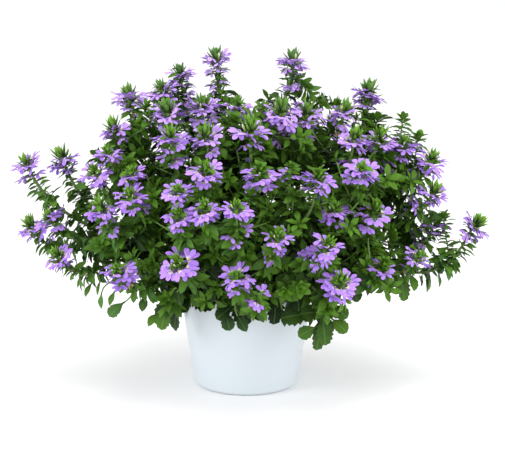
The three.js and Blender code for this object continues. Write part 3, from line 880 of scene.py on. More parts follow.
def placed_copies(nodes, points, index, rotation, size, given, out, chosen=True):
    """Ends a tree: copies of the shapes on points, as one mesh with its material."""
    shapes = nodes.add("GeometryNodeCollectionInfo", {
        "Collection": given["Shapes"], "Separate Children": True, "Reset Children": True})
    copies = nodes.add("GeometryNodeInstanceOnPoints", {
        "Points": points, "Selection": chosen, "Instance": shapes, "Pick Instance": True,
        "Instance Index": index, "Rotation": rotation, "Scale": size})
    chance = nodes.add("FunctionNodeRandomValue", {"Seed": nodes.math("ADD", given["Seed"], 31)})
    toned = nodes.add("GeometryNodeStoreNamedAttribute", {
        "Geometry": copies, "Name": "tone", "Value": chance}, data_type="FLOAT", domain="INSTANCE")
    whole = nodes.add("GeometryNodeRealizeInstances", {"Geometry": toned})
    coated = nodes.add("GeometryNodeSetMaterial", {"Geometry": whole, "Material": given["Material"]})
    nodes.tree.links.new(as_socket(coated), out["Geometry"])


def around(nodes, low, high, seed):
    """A number drawn between two, another for each point."""
    return nodes.add("FunctionNodeRandomValue", {"Min": low, "Max": high, "Seed": seed})


def aligned(nodes, axis):
    """A rotation that turns +Z along an axis."""
    return nodes.add("FunctionNodeAlignRotationToVector", {"Vector": axis}, axis="Z", pivot_axis="AUTO")


def rotated(nodes, rotation, x=0.0, y=0.0, z=0.0):
    """A rotation turned further about its own axes."""
    more = nodes.add("FunctionNodeEulerToRotation", {0: nodes.vector(x, y, z)})
    return nodes.add("FunctionNodeRotateRotation", {"Rotation": rotation, "Rotate By": more},
                     rotation_space="LOCAL")


def whorl_tree():
    """Copies of shapes round the stem at each point, with the point's own count, rise, size and turn."""
    nodes, given, out = new_tree("Whorl", "GeometryNodeTree", [
        ("Geometry", "Geometry"), ("Shapes", "Collection"), ("Material", "Material"), ("Seed", "Int", 0),
        ("Rise Spread", "Float", 0.2), ("Size Spread", "Float", 0.12), ("Roll", "Float", 0.2),
        ("Turn Spread", "Float", 0.25), ("Shape Spread", "Float", 0.0)], [("Geometry", "Geometry")])
    seed = given["Seed"]
    copied = nodes.add("GeometryNodeDuplicateElements", {"Geometry": given["Geometry"],
                                                         "Amount": attribute(nodes, "copies", "INT")},
                       domain="POINT")
    share = nodes.math("DIVIDE", copied.outputs["Duplicate Index"], attribute(nodes, "copies", "INT"))
    spread_of = {}
    for step, name in enumerate(("Rise Spread", "Size Spread", "Roll", "Turn Spread"), 1):
        drawn = around(nodes, -1.0, 1.0, nodes.math("ADD", seed, step))
        spread_of[name] = nodes.math("MULTIPLY", drawn, given[name])
    turn = nodes.math("MULTIPLY", nodes.math("ADD", share, attribute(nodes, "turn")), TURN)
    turn = nodes.math("ADD", turn, spread_of["Turn Spread"])
    facing = rotated(nodes, aligned(nodes, attribute(nodes, "axis", "FLOAT_VECTOR")), z=turn)
    rise = nodes.math("ADD", attribute(nodes, "rise"), spread_of["Rise Spread"])
    tilted = rotated(nodes, facing, y=nodes.math("MULTIPLY", rise, -1.0))
    rolled = rotated(nodes, tilted, x=spread_of["Roll"])
    out_by = nodes.add("FunctionNodeRotateVector", {"Vector": nodes.vector(attribute(nodes, "out"), 0.0, 0.0),
                                                    "Rotation": facing})
    moved = nodes.add("GeometryNodeSetPosition", {"Geometry": copied, "Offset": out_by})
    size = nodes.math("MULTIPLY", attribute(nodes, "size"), nodes.math("ADD", spread_of["Size Spread"], 1.0))
    other = around(nodes, -0.49, 0.49, nodes.math("ADD", seed, 9))
    other = nodes.math("MULTIPLY", other, given["Shape Spread"])
    index = nodes.math("ROUND", nodes.math("ADD", attribute(nodes, "shape"), other))
    placed_copies(nodes, moved, index, rolled, nodes.vector(size, size, size), given, out)
    return nodes.tree


def leaves_tree():
    """Leaves in a spiral along every line of a mesh, hanging by their weight and facing up."""
    nodes, given, out = new_tree("Leaf Spiral", "GeometryNodeTree", [
        ("Geometry", "Geometry"), ("Shapes", "Collection"), ("Material", "Material"), ("Seed", "Int", 0),
        ("Spacing", "Float", 0.006), ("Rise", "Float", 0.5), ("Hang", "Float", 0.2), ("Face", "Float", 0.3),
        ("Size", "Float", 1.0)], [("Geometry", "Geometry")])
    seed = given["Seed"]
    line = nodes.add("GeometryNodeMeshToCurve", {"Mesh": given["Geometry"]})
    spots = nodes.add("GeometryNodeCurveToPoints", {"Curve": line, "Length": given["Spacing"]}, mode="LENGTH")
    order = nodes.add("GeometryNodeInputIndex")
    turn = nodes.math("ADD", nodes.math("MULTIPLY", order, SPIRAL),
                      around(nodes, -0.35, 0.35, nodes.math("ADD", seed, 1)))
    facing = rotated(nodes, aligned(nodes, spots.outputs["Tangent"]), z=turn)
    rise = nodes.math("ADD", given["Rise"], around(nodes, -0.35, 0.35, nodes.math("ADD", seed, 2)))
    roll = around(nodes, -1.0, 1.0, nodes.math("ADD", seed, 3))
    tilted = rotated(nodes, facing, x=roll, y=nodes.math("MULTIPLY", rise, -1.0))
    hanging = nodes.add("FunctionNodeAlignRotationToVector", {"Rotation": tilted, "Factor": given["Hang"],
                                                              "Vector": (0.0, 0.0, -1.0)},
                        axis="X", pivot_axis="AUTO")
    level = nodes.add("FunctionNodeAlignRotationToVector", {"Rotation": hanging, "Factor": given["Face"],
                                                            "Vector": (0.0, 0.0, 1.0)},
                      axis="Z", pivot_axis="X")
    below = attribute(nodes, "below")
    kind = nodes.math("ADD", attribute(nodes, "kind"), around(nodes, -1.0, 1.0, nodes.math("ADD", seed, 4)))
    kind = nodes.math("MINIMUM", nodes.math("MAXIMUM", nodes.math("ROUND", kind), 0.0), len(LEAVES) - 1.0)
    grown = nodes.spread(below, 0.0, 0.05, 0.66, 1.0)
    size = nodes.math("MULTIPLY", nodes.math("MULTIPLY", grown, given["Size"]),
                      around(nodes, 0.72, 1.26, nodes.math("ADD", seed, 5)))
    chosen = nodes.math("LESS_THAN", around(nodes, 0.0, 1.0, nodes.math("ADD", seed, 6)),
                        attribute(nodes, "density"))
    placed_copies(nodes, spots, kind, level, nodes.vector(size, size, size), given, out, chosen)
    return nodes.tree


def stalk_tree():
    """Round stalks along every line of a mesh, as thick as its points say."""
    nodes, given, out = new_tree("Stalks", "GeometryNodeTree", [
        ("Geometry", "Geometry"), ("Material", "Material"), ("Sides", "Int", 6)], [("Geometry", "Geometry")])
    line = nodes.add("GeometryNodeMeshToCurve", {"Mesh": given["Geometry"]})
    section = nodes.add("GeometryNodeCurvePrimitiveCircle", {"Resolution": given["Sides"], "Radius": 1.0})
    tubes = nodes.add("GeometryNodeCurveToMesh", {"Curve": line, "Profile Curve": section, "Fill Caps": True,
                                                  "Scale": attribute(nodes, "thickness")})
    smooth = nodes.add("GeometryNodeSetShadeSmooth", {"Geometry": tubes})
    whole = nodes.add("GeometryNodeRealizeInstances", {"Geometry": smooth})
    coated = nodes.add("GeometryNodeSetMaterial", {"Geometry": whole, "Material": given["Material"]})
    nodes.tree.links.new(as_socket(coated), out["Geometry"])
    return nodes.tree


def crumb_tree():
    """Crumbs scattered over a surface."""
    nodes, given, out = new_tree("Crumbs", "GeometryNodeTree", [
        ("Geometry", "Geometry"), ("Shapes", "Collection"), ("Material", "Material"), ("Seed", "Int", 0),
        ("Density", "Float", 60000.0), ("Size", "Float", 0.002)], [("Geometry", "Geometry")])
    spots = nodes.add("GeometryNodeDistributePointsOnFaces", {
        "Mesh": given["Geometry"], "Density": given["Density"], "Seed": given["Seed"]})
    seed = given["Seed"]
    angles = nodes.add("FunctionNodeRandomValue", {"Min": (0.0, 0.0, 0.0), "Max": (TURN, TURN, TURN),
                                                   "Seed": nodes.math("ADD", seed, 1)},
                       data_type="FLOAT_VECTOR")
    rotation = nodes.add("FunctionNodeEulerToRotation", {0: angles})
    size = nodes.math("MULTIPLY", given["Size"], around(nodes, 0.25, 0.7, nodes.math("ADD", seed, 2)))
    kind = nodes.math("ROUND", around(nodes, -0.49, CRUMB_KINDS - 0.51, nodes.math("ADD", seed, 3)))
    placed_copies(nodes, spots, kind, rotation, nodes.vector(size, size, size), given, out)
    return nodes.tree


def grown_mesh(mesh, tree, **values):
    """The mesh that a tree makes of another, with the tree's inputs given by name."""
    carrier = bpy.data.objects.new("carrier", mesh)
    bpy.context.scene.collection.objects.link(carrier)
    modifier = carrier.modifiers.new("growth", "NODES")
    modifier.node_group = tree
    for item in tree.interface.items_tree:
        name = item.name.lower().replace(" ", "_")
        if item.in_out == "INPUT" and name in values:
            modifier[item.identifier] = values.pop(name)
    if values:
        raise ValueError(f"{tree.name} has no input for {sorted(values)}")
    graph = bpy.context.evaluated_depsgraph_get()
    result = bpy.data.meshes.new_from_object(carrier.evaluated_get(graph))
    bpy.data.objects.remove(carrier)
    bpy.data.meshes.remove(mesh)
    return result


def point_mesh(rows, lines=()):
    """A mesh of points with values: each row holds the place and the values by name."""
    mesh = bpy.data.meshes.new("points")
    mesh.from_pydata([tuple(row["place"]) for row in rows], lines, [])
    for name in (key for key in rows[0] if key != "place"):
        first = rows[0][name]
        kind = "FLOAT_VECTOR" if isinstance(first, Vector) else "INT" if isinstance(first, int) else "FLOAT"
        values = mesh.attributes.new(name, kind, "POINT").data
        for item, row in zip(values, rows):
            if kind == "FLOAT_VECTOR":
                item.vector = row[name]
            else:
                item.value = row[name]
    return mesh


def joined_piece(name, meshes, nodes):
    """One finished piece of several meshes, which stands for nodes of the frame."""
    parts = []
    for order, mesh in enumerate(meshes):
        part = bpy.data.objects.new(name if order == 0 else f"{name}_part", mesh)
        bpy.context.scene.collection.objects.link(part)
        parts.append(part)
    if len(parts) > 1:
        with bpy.context.temp_override(active_object=parts[0], object=parts[0], selected_objects=parts,
                                       selected_editable_objects=parts):
            bpy.ops.object.join()
    piece = parts[0]
    piece.data.name = name
    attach(piece, "root")
    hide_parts(*nodes)
    return piece


# Materials


def shared_group(name):
    """Lets a function that builds a group of this name do so once, and gives that group from then on."""
    def once(build):
        return lambda: bpy.data.node_groups.get(name) or build(name)
    return once


@shared_group("Blotches")
def blotch_group(name):
    """Soft uneven patches, as a mask from 0 to 1."""
    nodes, given, out = new_tree(name, "ShaderNodeTree", [
        ("Scale", "Float", 60.0), ("Contrast", "Float", 0.25)], [("Mask", "Float")])
    place = object_place(nodes)
    noise = nodes.add("ShaderNodeTexNoise", {"Vector": place, "Scale": given["Scale"], "Detail": 3.0})
    low = nodes.math("SUBTRACT", 0.5, given["Contrast"])
    high = nodes.math("ADD", 0.5, given["Contrast"])
    nodes.tree.links.new(nodes.spread(noise.outputs[0], low, high).outputs[0], out["Mask"])
    return nodes.tree


@shared_group("Fine Grain")
def grain_group(name):
    """A fine uneven surface, as a height and as a mask for gloss."""
    nodes, given, out = new_tree(name, "ShaderNodeTree", [
        ("Scale", "Float", 900.0), ("Coarse", "Float", 90.0)], [("Height", "Float"), ("Mask", "Float")])
    place = object_place(nodes)
    fine = nodes.add("ShaderNodeTexNoise", {"Vector": place, "Scale": given["Scale"], "Detail": 2.0})
    coarse = nodes.add("ShaderNodeTexNoise", {"Vector": place, "Scale": given["Coarse"], "Detail": 2.0})
    nodes.tree.links.new(nodes.math("ADD", fine.outputs[0], coarse.outputs[0]).outputs[0], out["Height"])
    nodes.tree.links.new(coarse.outputs[0], out["Mask"])
    return nodes.tree


@shared_group("Veins")
def vein_group(name):
    """The midrib and the side veins of a blade from its own pattern places, as masks."""
    nodes, given, out = new_tree(name, "ShaderNodeTree", [
        ("Veins", "Float", 8.0), ("Slant", "Float", 0.7), ("Midrib", "Float", 0.05)],
        [("Midrib", "Float"), ("Side", "Float"), ("Across", "Float"), ("Along", "Float")])
    places = pattern_place(nodes)
    across = nodes.math("ABSOLUTE", nodes.math("SUBTRACT", nodes.math("FRACT", places["X"]), 0.5))
    rib = nodes.spread(across, 0.0, given["Midrib"], 1.0, 0.0)
    slanted = nodes.math("SUBTRACT", places["Y"], nodes.math("MULTIPLY", across, given["Slant"]))
    wave = nodes.math("PINGPONG", nodes.math("MULTIPLY", slanted, given["Veins"]), 0.5)
    side = nodes.spread(wave, 0.0, 0.16, 1.0, 0.0)
    for value, output in ((rib, "Midrib"), (side, "Side"), (across, "Across"), (places["Y"], "Along")):
        nodes.tree.links.new(as_socket(value), out[output])
    return nodes.tree


def new_material(name):
    """A material with one shader, and the tree to feed it."""
    material = bpy.data.materials.new(name)
    material.use_nodes = True
    nodes = Tree(material.node_tree)
    shader = material.node_tree.nodes["Principled BSDF"]
    return material, nodes, shader


def feed(nodes, source, shader, socket):
    nodes.tree.links.new(as_socket(source), shader.inputs[socket])


def mix(nodes, share, first, second):
    """A colour between two, by a share. The node's colours are its inputs 6 and 7 and its output 2."""
    first, second = (each if isinstance(each, bpy.types.NodeSocket) else (*each, 1)
                     for each in (first, second))
    return nodes.add("ShaderNodeMix", {0: share, 6: first, 7: second}, data_type="RGBA").outputs[2]


def value_of(nodes, name):
    return nodes.add("ShaderNodeAttribute", attribute_name=name).outputs["Fac"]


def group(nodes, tree, **values):
    node = nodes.add("ShaderNodeGroup", node_tree=tree)
    for name, value in values.items():
        node.inputs[name].default_value = value
    return node.outputs


def add_bump(nodes, height, shader, strength, distance):
    bump = nodes.add("ShaderNodeBump", {"Height": height, "Strength": strength, "Distance": distance})
    feed(nodes, bump, shader, "Normal")


def object_place(nodes):
    return nodes.add("ShaderNodeTexCoord").outputs["Object"]


def pattern_place(nodes):
    return nodes.add("ShaderNodeSeparateXYZ", {0: nodes.add("ShaderNodeUVMap", uv_map="UVMap")}).outputs


def rise_share(nodes, low, high, most):
    """A share that grows from 0 at one height above the floor to its most at another."""
    height = nodes.add("ShaderNodeSeparateXYZ", {0: object_place(nodes)}).outputs["Z"]
    return nodes.spread(height, low, high, 0.0, most)


def mound_reach(nodes):
    """How far a place is from the middle of the mound, as a share of the mound's own reach there."""
    place = object_place(nodes)
    centred = nodes.add("ShaderNodeVectorMath", {0: place, 1: [value * MM for value in MOUND["centre"]]},
                        operation="SUBTRACT")
    scaled = nodes.add("ShaderNodeVectorMath", {0: centred, 1: [value * MM for value in MOUND["radii"]]},
                       operation="DIVIDE")
    return nodes.add("ShaderNodeVectorMath", {0: scaled}, operation="LENGTH").outputs["Value"]


def leaf_material(settings):
    leaf = settings.leaf
    material, nodes, shader = new_material("leaf green")
    veins = group(nodes, vein_group(), Veins=9.0, Slant=0.75, Midrib=0.05)
    patches = group(nodes, blotch_group(), Scale=140.0, Contrast=0.3)["Mask"]
    own = value_of(nodes, "tone")
    tone = nodes.math("MULTIPLY_ADD", nodes.math("POWER", own, 1.5), 0.8,
                      nodes.math("MULTIPLY", patches, 0.2))
    bluish = nodes.math("FRACT", nodes.math("MULTIPLY", own, 7.3))
    lit = mix(nodes, bluish, leaf.light, leaf.cool)
    # Painted shade and painted light: over its own tone, a leaf goes darker the deeper it sits inside the
    # mound, and lighter at the mound's surface and out on the arms
    reach = mound_reach(nodes)
    own_share = nodes.math("MULTIPLY_ADD", tone, 0.9, 0.1)
    inside = nodes.math("MULTIPLY", own_share, nodes.spread(reach, 0.80, 1.02, 0.0, 1.0))
    # The share of the lighter colour: own tone with the painted shade inside the mound, plus painted light
    # from its surface outwards
    fresh = nodes.math("ADD", inside, nodes.spread(reach, 0.94, 1.15, 0.0, 0.3))
    grown = mix(nodes, nodes.math("MINIMUM", fresh, 1.0), leaf.dark_tone_and_shade, lit)
    youth = nodes.spread(value_of(nodes, "below"), 0.0, 0.07, 0.75, 0.0)
    blade = mix(nodes, youth, grown, leaf.young)
    lined = mix(nodes, nodes.math("MULTIPLY", veins["Side"], 0.10), blade, leaf.vein)
    ribbed = mix(nodes, nodes.math("MULTIPLY", veins["Midrib"], 0.28), lined, leaf.vein)
    feed(nodes, ribbed, shader, "Base Color")
    feed(nodes, nodes.spread(patches, 0.0, 1.0, 0.40, 0.56), shader, "Roughness")
    height = nodes.math("ADD", veins["Midrib"], nodes.math("MULTIPLY", veins["Side"], 0.5))
    add_bump(nodes, nodes.math("MULTIPLY", height, -1.0), shader, 0.5, 0.0004)
    shader.inputs["Specular IOR Level"].default_value = 0.13
    return material


def tip_material(settings):
    """The green of a shoot's tip, and the pale buds in it."""
    tip, leaf = settings.tip, settings.leaf
    material, nodes, shader = new_material("young tip green")
    veins = group(nodes, vein_group(), Veins=6.0, Slant=0.5, Midrib=0.07)
    tone = value_of(nodes, "tone")
    # Painted shade: each leaf of a tuft goes dark towards its root, down among the others
    shaded = mix(nodes, nodes.spread(veins["Along"], 0.28, 0.82), leaf.dark_tone_and_shade, tip.leaf)
    varied = mix(nodes, nodes.math("MULTIPLY", tone, 0.45), shaded, leaf.light)
    # Painted shade: the tufts high on the plant go darker
    dimmed = mix(nodes, rise_share(nodes, 0.33, 0.38, 0.8), varied, tip.high)
    ribbed = mix(nodes, nodes.math("MULTIPLY", veins["Midrib"], 0.4), dimmed, leaf.vein)
    is_bud = nodes.math("GREATER_THAN", pattern_place(nodes)["X"], BUD_PATTERN - 0.5)
    bud = mix(nodes, nodes.spread(veins["Along"], 0.1, 0.6), tip.leaf, tip.bud)
    feed(nodes, mix(nodes, is_bud, ribbed, bud), shader, "Base Color")
    feed(nodes, nodes.spread(tone, 0.0, 1.0, 0.42, 0.55), shader, "Roughness")
    add_bump(nodes, nodes.math("MULTIPLY", veins["Midrib"], -1.0), shader, 0.4, 0.0003)
    return material


def petal_material(settings):
    bloom = settings.bloom
    material, nodes, shader = new_material("lavender petal")
    veins = group(nodes, vein_group(), Veins=0.0, Slant=0.0, Midrib=0.09)
    along, across = veins["Along"], veins["Across"]
    tone = value_of(nodes, "tone")
    fine = nodes.math("PINGPONG", nodes.math("MULTIPLY", across, 7.0), 0.5)
    lines = nodes.spread(fine, 0.0, 0.3, 1.0, 0.0)
    patches = group(nodes, blotch_group(), Scale=220.0, Contrast=0.3)["Mask"]
    deep = nodes.math("ADD", nodes.math("MULTIPLY", lines, 0.16), nodes.math("MULTIPLY", patches, 0.16))
    deep = nodes.math("ADD", deep, nodes.math("MULTIPLY", tone, 0.22))
    petal = mix(nodes, deep, mix(nodes, rise_share(nodes, 0.28, 0.36, 0.85), bloom.petal, bloom.sunlit),
                bloom.deep)
    ribbed = mix(nodes, nodes.math("MULTIPLY", veins["Midrib"], 0.35), petal, bloom.deep)
    pale = mix(nodes, nodes.spread(along, 0.16, 0.38, 0.85, 0.0), ribbed, (0.88, 0.84, 0.92))
    spotted = mix(nodes, nodes.spread(along, 0.10, 0.24, 1.0, 0.0), pale, bloom.throat)
    pattern = pattern_place(nodes)["X"]
    is_tube = nodes.math("GREATER_THAN", pattern, BUD_PATTERN - 0.5)
    is_style = nodes.math("GREATER_THAN", pattern, STYLE_PATTERN - 0.5)
    tube = mix(nodes, along, bloom.tube, bloom.deep)
    flower = mix(nodes, is_tube, spotted, tube)
    styled = mix(nodes, is_style, flower, mix(nodes, along, bloom.petal, bloom.deep))
    age = value_of(nodes, "age")
    is_dry = nodes.math("MULTIPLY", nodes.math("GREATER_THAN", age, 0.6),
                        nodes.math("GREATER_THAN", tone, 0.4))
    aged = mix(nodes, is_dry, mix(nodes, age, styled, bloom.faded), bloom.dry)
    feed(nodes, aged, shader, "Base Color")
    feed(nodes, nodes.spread(patches, 0.0, 1.0, 0.5, 0.66), shader, "Roughness")
    height = nodes.math("ADD", nodes.math("MULTIPLY", lines, 0.4), veins["Midrib"])
    add_bump(nodes, nodes.math("MULTIPLY", height, -1.0), shader, 0.5, 0.0003)
    shader.inputs["Specular IOR Level"].default_value = 0.3
    return material


def stalk_material(settings):
    stem = settings.stem
    material, nodes, shader = new_material("stalk green")
    patches = group(nodes, blotch_group(), Scale=180.0, Contrast=0.3)["Mask"]
    grain = group(nodes, grain_group(), Scale=1500.0, Coarse=260.0)
    age = nodes.spread(value_of(nodes, "below"), 0.0, 0.16)
    fresh = mix(nodes, age, stem.young, stem.old)
    dimmed = mix(nodes, nodes.math("MULTIPLY", patches, 0.3), fresh, settings.leaf.dark_tone_and_shade)
    feed(nodes, dimmed, shader, "Base Color")
    feed(nodes, nodes.spread(grain["Mask"], 0.3, 0.7, 0.45, 0.65), shader, "Roughness")
    add_bump(nodes, grain["Height"], shader, 0.3, 0.0003)
    return material


def pot_material(settings):
    material, nodes, shader = new_material("white pot plastic")
    patches = group(nodes, blotch_group(), Scale=14.0, Contrast=0.35)["Mask"]
    grain = group(nodes, grain_group(), Scale=2200.0, Coarse=420.0)
    shell = settings.pot.shell
    shaded = tuple(value * 0.965 for value in shell)
    feed(nodes, mix(nodes, patches, shell, shaded), shader, "Base Color")
    feed(nodes, nodes.spread(grain["Mask"], 0.3, 0.7, 0.40, 0.5), shader, "Roughness")
    add_bump(nodes, grain["Height"], shader, 0.10, 0.0002)
    return material


def mix_material(settings):
    """Moist peat with pale grit. A crumb's tone says which of the two it is."""
    bed = settings.mix
    material, nodes, shader = new_material("peat mix")
    patches = group(nodes, blotch_group(), Scale=260.0, Contrast=0.2)["Mask"]
    grain = group(nodes, grain_group(), Scale=1600.0, Coarse=500.0)
    light = tuple(value * 2.4 for value in bed.peat)
    peat = mix(nodes, patches, bed.peat, light)
    is_grit = nodes.math("GREATER_THAN", value_of(nodes, "tone"), 0.93)
    feed(nodes, mix(nodes, is_grit, peat, bed.grit), shader, "Base Color")
    feed(nodes, nodes.spread(grain["Mask"], 0.3, 0.7, 0.8, 1.0), shader, "Roughness")
    add_bump(nodes, grain["Height"], shader, 0.8, 0.0008)
    return material


def floor_material():
    material, nodes, shader = new_material("pale floor")
    patches = group(nodes, blotch_group(), Scale=2.0, Contrast=0.3)["Mask"]
    feed(nodes, mix(nodes, patches, (0.97, 0.97, 0.97), (0.955, 0.955, 0.96)), shader, "Base Color")
    shader.inputs["Roughness"].default_value = 0.8
    shader.inputs["Specular IOR Level"].default_value = 0.1
    return material


# Pieces


def add_ring(shape, radius, sides, height_at, along):
    """Adds a ring of points round the axis, or a single one on it, at the height of each place."""
    ring = []
    for i in range(sides if radius else 1):
        x, y = radius * math.cos(TURN * i / sides), radius * math.sin(TURN * i / sides)
        ring.append(shape.add(Vector((x, y, height_at(x, y))), (i / sides, along)))
    return ring


def join_rings(shape, rings):
    """Faces between each ring and the next, which run outwards and up on the outside of a turned shape."""
    for ring, following in zip(rings, rings[1:]):
        sides = max(len(ring), len(following))
        for i in range(sides):
            j = (i + 1) % sides
            if len(ring) == 1:
                shape.face(ring[0], following[j], following[i])
            elif len(following) == 1:
                shape.face(ring[i], ring[j], following[0])
            else:
                shape.face(ring[i], ring[j], following[j], following[i])


def pot_mesh(pot, sides=128):
    """The pot, turned from its profile."""
    shape = Shape()
    join_rings(shape, [add_ring(shape, radius, sides, lambda x, y: height, height)
                       for radius, height in pot_profile(pot)])
    return shape.mesh("pot_shell")


def pot_profile(pot):
    """The outside from the middle of the base to the rim, then the inside back to the middle, as (radius,
    height). The middle of the base stands clear of the floor inside a flat ring."""
    hollow, foot_ring, inner_corner, steps = 0.0012, 0.011, 0.0035, 6

    def radius_at(height):
        return pot.base_radius + (pot.rim_radius - pot.base_radius) / pot.height * height

    profile = [(0, hollow), (pot.base_radius - foot_ring - 0.001, hollow), (pot.base_radius - foot_ring, 0.0),
               (pot.base_radius - pot.corner, 0.0)]
    for step in range(1, steps + 1):
        turned_by = step / steps * math.pi / 2
        profile.append((radius_at(pot.corner) - pot.corner + pot.corner * math.sin(turned_by),
                        pot.corner - pot.corner * math.cos(turned_by)))
    profile += [(radius_at(pot.height * share), pot.height * share) for share in (0.2, 0.4, 0.6, 0.8, 0.96)]
    lip = pot.wall / 2
    top = radius_at(pot.height) - lip
    for step in range(steps + 1):
        turned_by = step / steps * math.pi
        profile.append((top + lip * math.cos(turned_by), pot.height - lip + lip * math.sin(turned_by)))
    profile += [(radius_at(pot.height * share) - pot.wall, pot.height * share) for share in (0.9, 0.5, 0.1)]
    floor = pot.wall * 1.5
    return [*profile, (pot.base_radius - pot.wall - inner_corner, floor), (0, floor)]


def bed_mesh(settings, sides=72, rings=16):
    """The mix inside the pot: a lumpy top, and sides and an underside that follow the pot."""
    low, high = MIX_LOW.z, settings.pot.height - settings.mix.drop
    base, top = settings.pot.base_radius - settings.pot.wall - MIX_GAP, MIX_HIGH.x
    shape = Shape()
    loops = [add_ring(shape, 0, sides, lambda x, y: low, 0),
             add_ring(shape, base, sides, lambda x, y: low, low),
             add_ring(shape, top, sides, lambda x, y: high, high)]
    for ring in range(rings - 1, -1, -1):
        loops.append(add_ring(shape, top * ring / rings, sides, lambda x, y: mix_top(x, y, settings),
                              ring / rings if ring else 1))
    join_rings(shape, loops)
    return shape.mesh("mix_bed")


def bed_top(settings, sides=40, rings=8):
    """The upper face of the mix alone, for the crumbs."""
    shape = Shape()
    edge, above = MIX_HIGH.x - 0.002, 0.0002
    loops = [add_ring(shape, edge * ring / rings, sides, lambda x, y: mix_top(x, y, settings) + above, 0)
             for ring in range(1, rings + 1)]
    for loop, following in zip(loops, loops[1:]):
        for i in range(sides):
            j = (i + 1) % sides
            shape.face(loop[i], following[i], following[j], loop[j])
    shape.face(*loops[0])
    return shape.mesh("bed_top")


# The broadest kind of leaf along a stem, and that on the arms
BROADEST = 5.3
BROADEST_ON_ARMS = 2.4


def leaf_kind(place, below):
    """Leaves are narrow near a tip and on the arms that reach out of the mound, and broader inside it."""
    kind = BROADEST * min(max((below - 0.020) / 0.12, 0), 1)
    return kind if in_mound(place) else min(kind, BROADEST_ON_ARMS)


def leaf_density(place, below):
    """Share of the places for leaves that hold one: most near the tips of the arms, fewest deep inside."""
    if not in_mound(place, 0.96):
        return 0.95 if below < 0.07 else 0.6
    return 0.6 if below < 0.065 else 0.36


# The length of one straight piece of a stem, and how far stems reach into a tuft, into a rosette and down
# into the mix
STEM_STEP = 0.009
INTO_TUFT = 0.007
INTO_ROSETTE = 0.004
INTO_MIX = 0.012


def stem_lines(runs):
    """Lines with a thickness, the distance below the tip and the kind of leaf at each point. A run is a path,
    its radius at the foot and at the tip, what lies beyond its end, and how far its foot goes down."""
    rows, lines = [], []

    def add_row(place, thickness, below):
        rows.append({"place": place, "thickness": thickness, "below": below, "kind": leaf_kind(place, below),
                     "density": leaf_density(place, below)})

    for path, foot, tip, beyond, into in runs:
        steps = max(5, round(path.length / STEM_STEP))
        first = len(rows)
        if into:
            add_row(path.at(0) - path.tangent(0) * into, foot, path.length)
        for step in range(steps + 1):
            share = step / steps
            add_row(path.at(share), foot + (tip - foot) * share, path.length * (1 - share) + beyond.length)
        if beyond.length:
            add_row(path.at(1) + beyond, tip, 0.0)
        lines.extend((i, i + 1) for i in range(first, len(rows) - 1))
    return point_mesh(rows, lines)


def shoot_runs(shoots, stem):
    runs = []
    for shoot in shoots:
        foot = stem.leader if shoot.leads else stem.shoot
        reach = NECK * MM + INTO_TUFT if shoot.bloom else INTO_ROSETTE
        runs.append((shoot.path, foot, stem.tip, shoot.axis * reach, INTO_MIX if shoot.leads else 0))
    return runs


def twig_runs(twigs, stem):
    return [(twig, stem.twig, stem.twig * 0.8, Vector(), 0) for twig in twigs]


def whorl_row(place, axis, copies, rise, size, turn, out=0.0, shape=0.0, age=0.0, below=0.0):
    """One ring of leaves or flowers for the whorl tree, round an axis."""
    return {"place": place, "axis": axis, "copies": int(copies), "rise": rise, "size": size, "turn": turn,
            "out": out, "shape": shape, "age": age, "below": below}


# The rings of leaves at a flowering tip, from those among the flowers to the inner ones: the height, the name
# of the count in the settings, the rise in degrees, the size, the distance from the stem and the shape
TIP_RINGS = ((-0.0045, "bracts", 22, 1.0, 0.0022, 1.0), (0.0010, "outer", 44, 1.0, 0.0026, 1.0),
             (0.0030, "middle", 62, 1.05, 0.0026, 0.5), (0.0045, "middle", 74, 1.0, 0.0014, 0.0),
             (0.0058, "inner", 84, 0.95, 0.0004, 0.0))

# Above this height or outside this radius a tip is of full size, and elsewhere it is smaller
TALL = 0.30
FAR_OUT = 0.20
SHADED_SIZE = 0.78

# The buds of a tip: how they rise, in degrees, and how far from the stem they start
BUD_RISES = (45, 72)
BUD_OUT = 0.0035


def tip_rows(shoot, tip, draw):
    """The tuft at the tip of a flowering shoot, with its buds."""
    axis = shoot.axis
    reached = max(shoot.at.z / TALL, math.hypot(shoot.at.x, shoot.at.y) / FAR_OUT)
    size = shoot.size * draw.uniform(0.85, 1.15) * (1.0 if reached > 1 else SHADED_SIZE)
    turn = draw.random()
    rows = [whorl_row(shoot.at + axis * height * size, axis, getattr(tip, name), math.radians(rise),
                      scale * size, turn + order * 0.21, out=out * size, shape=shape)
            for order, (height, name, rise, scale, out, shape) in enumerate(TIP_RINGS)]
    for _ in range(draw.choice((0, 1, 1, tip.buds))):
        rise = math.radians(draw.uniform(*BUD_RISES))
        rows.append(whorl_row(shoot.at, axis, 1, rise, draw.uniform(0.95, 1.2) * size, draw.random(),
                              out=BUD_OUT, shape=2.0))
    return rows


# How far below a head the leaves in threes start, and the step to the next
CLOSE_START = 0.010
CLOSE_STEP = 0.008


def close_rows(shoot, draw):
    """Small leaves in threes, close along a stem below its head."""
    rows = []
    for order in range(LEAFY_STEMS.get(shoot.bloom, 0)):
        place, along = shoot.below(CLOSE_START + CLOSE_STEP * order)
        rows.append(whorl_row(place, along, 3, math.radians(draw.uniform(42, 62)), draw.uniform(0.75, 1.0),
                              0.2 * order + 0.1 * draw.random(), out=0.0012, shape=1.0))
    return rows


def small_tip_rows(end, axis, draw, size=0.75):
    """A small tuft of young leaves at the end of a twig."""
    return [whorl_row(end, axis, 5, math.radians(35), size, draw.random(), shape=1.5, below=0.012),
            whorl_row(end + axis * 0.002, axis, 3, math.radians(65), size * 0.8, draw.random(), shape=0.4,
                      below=0.004)]


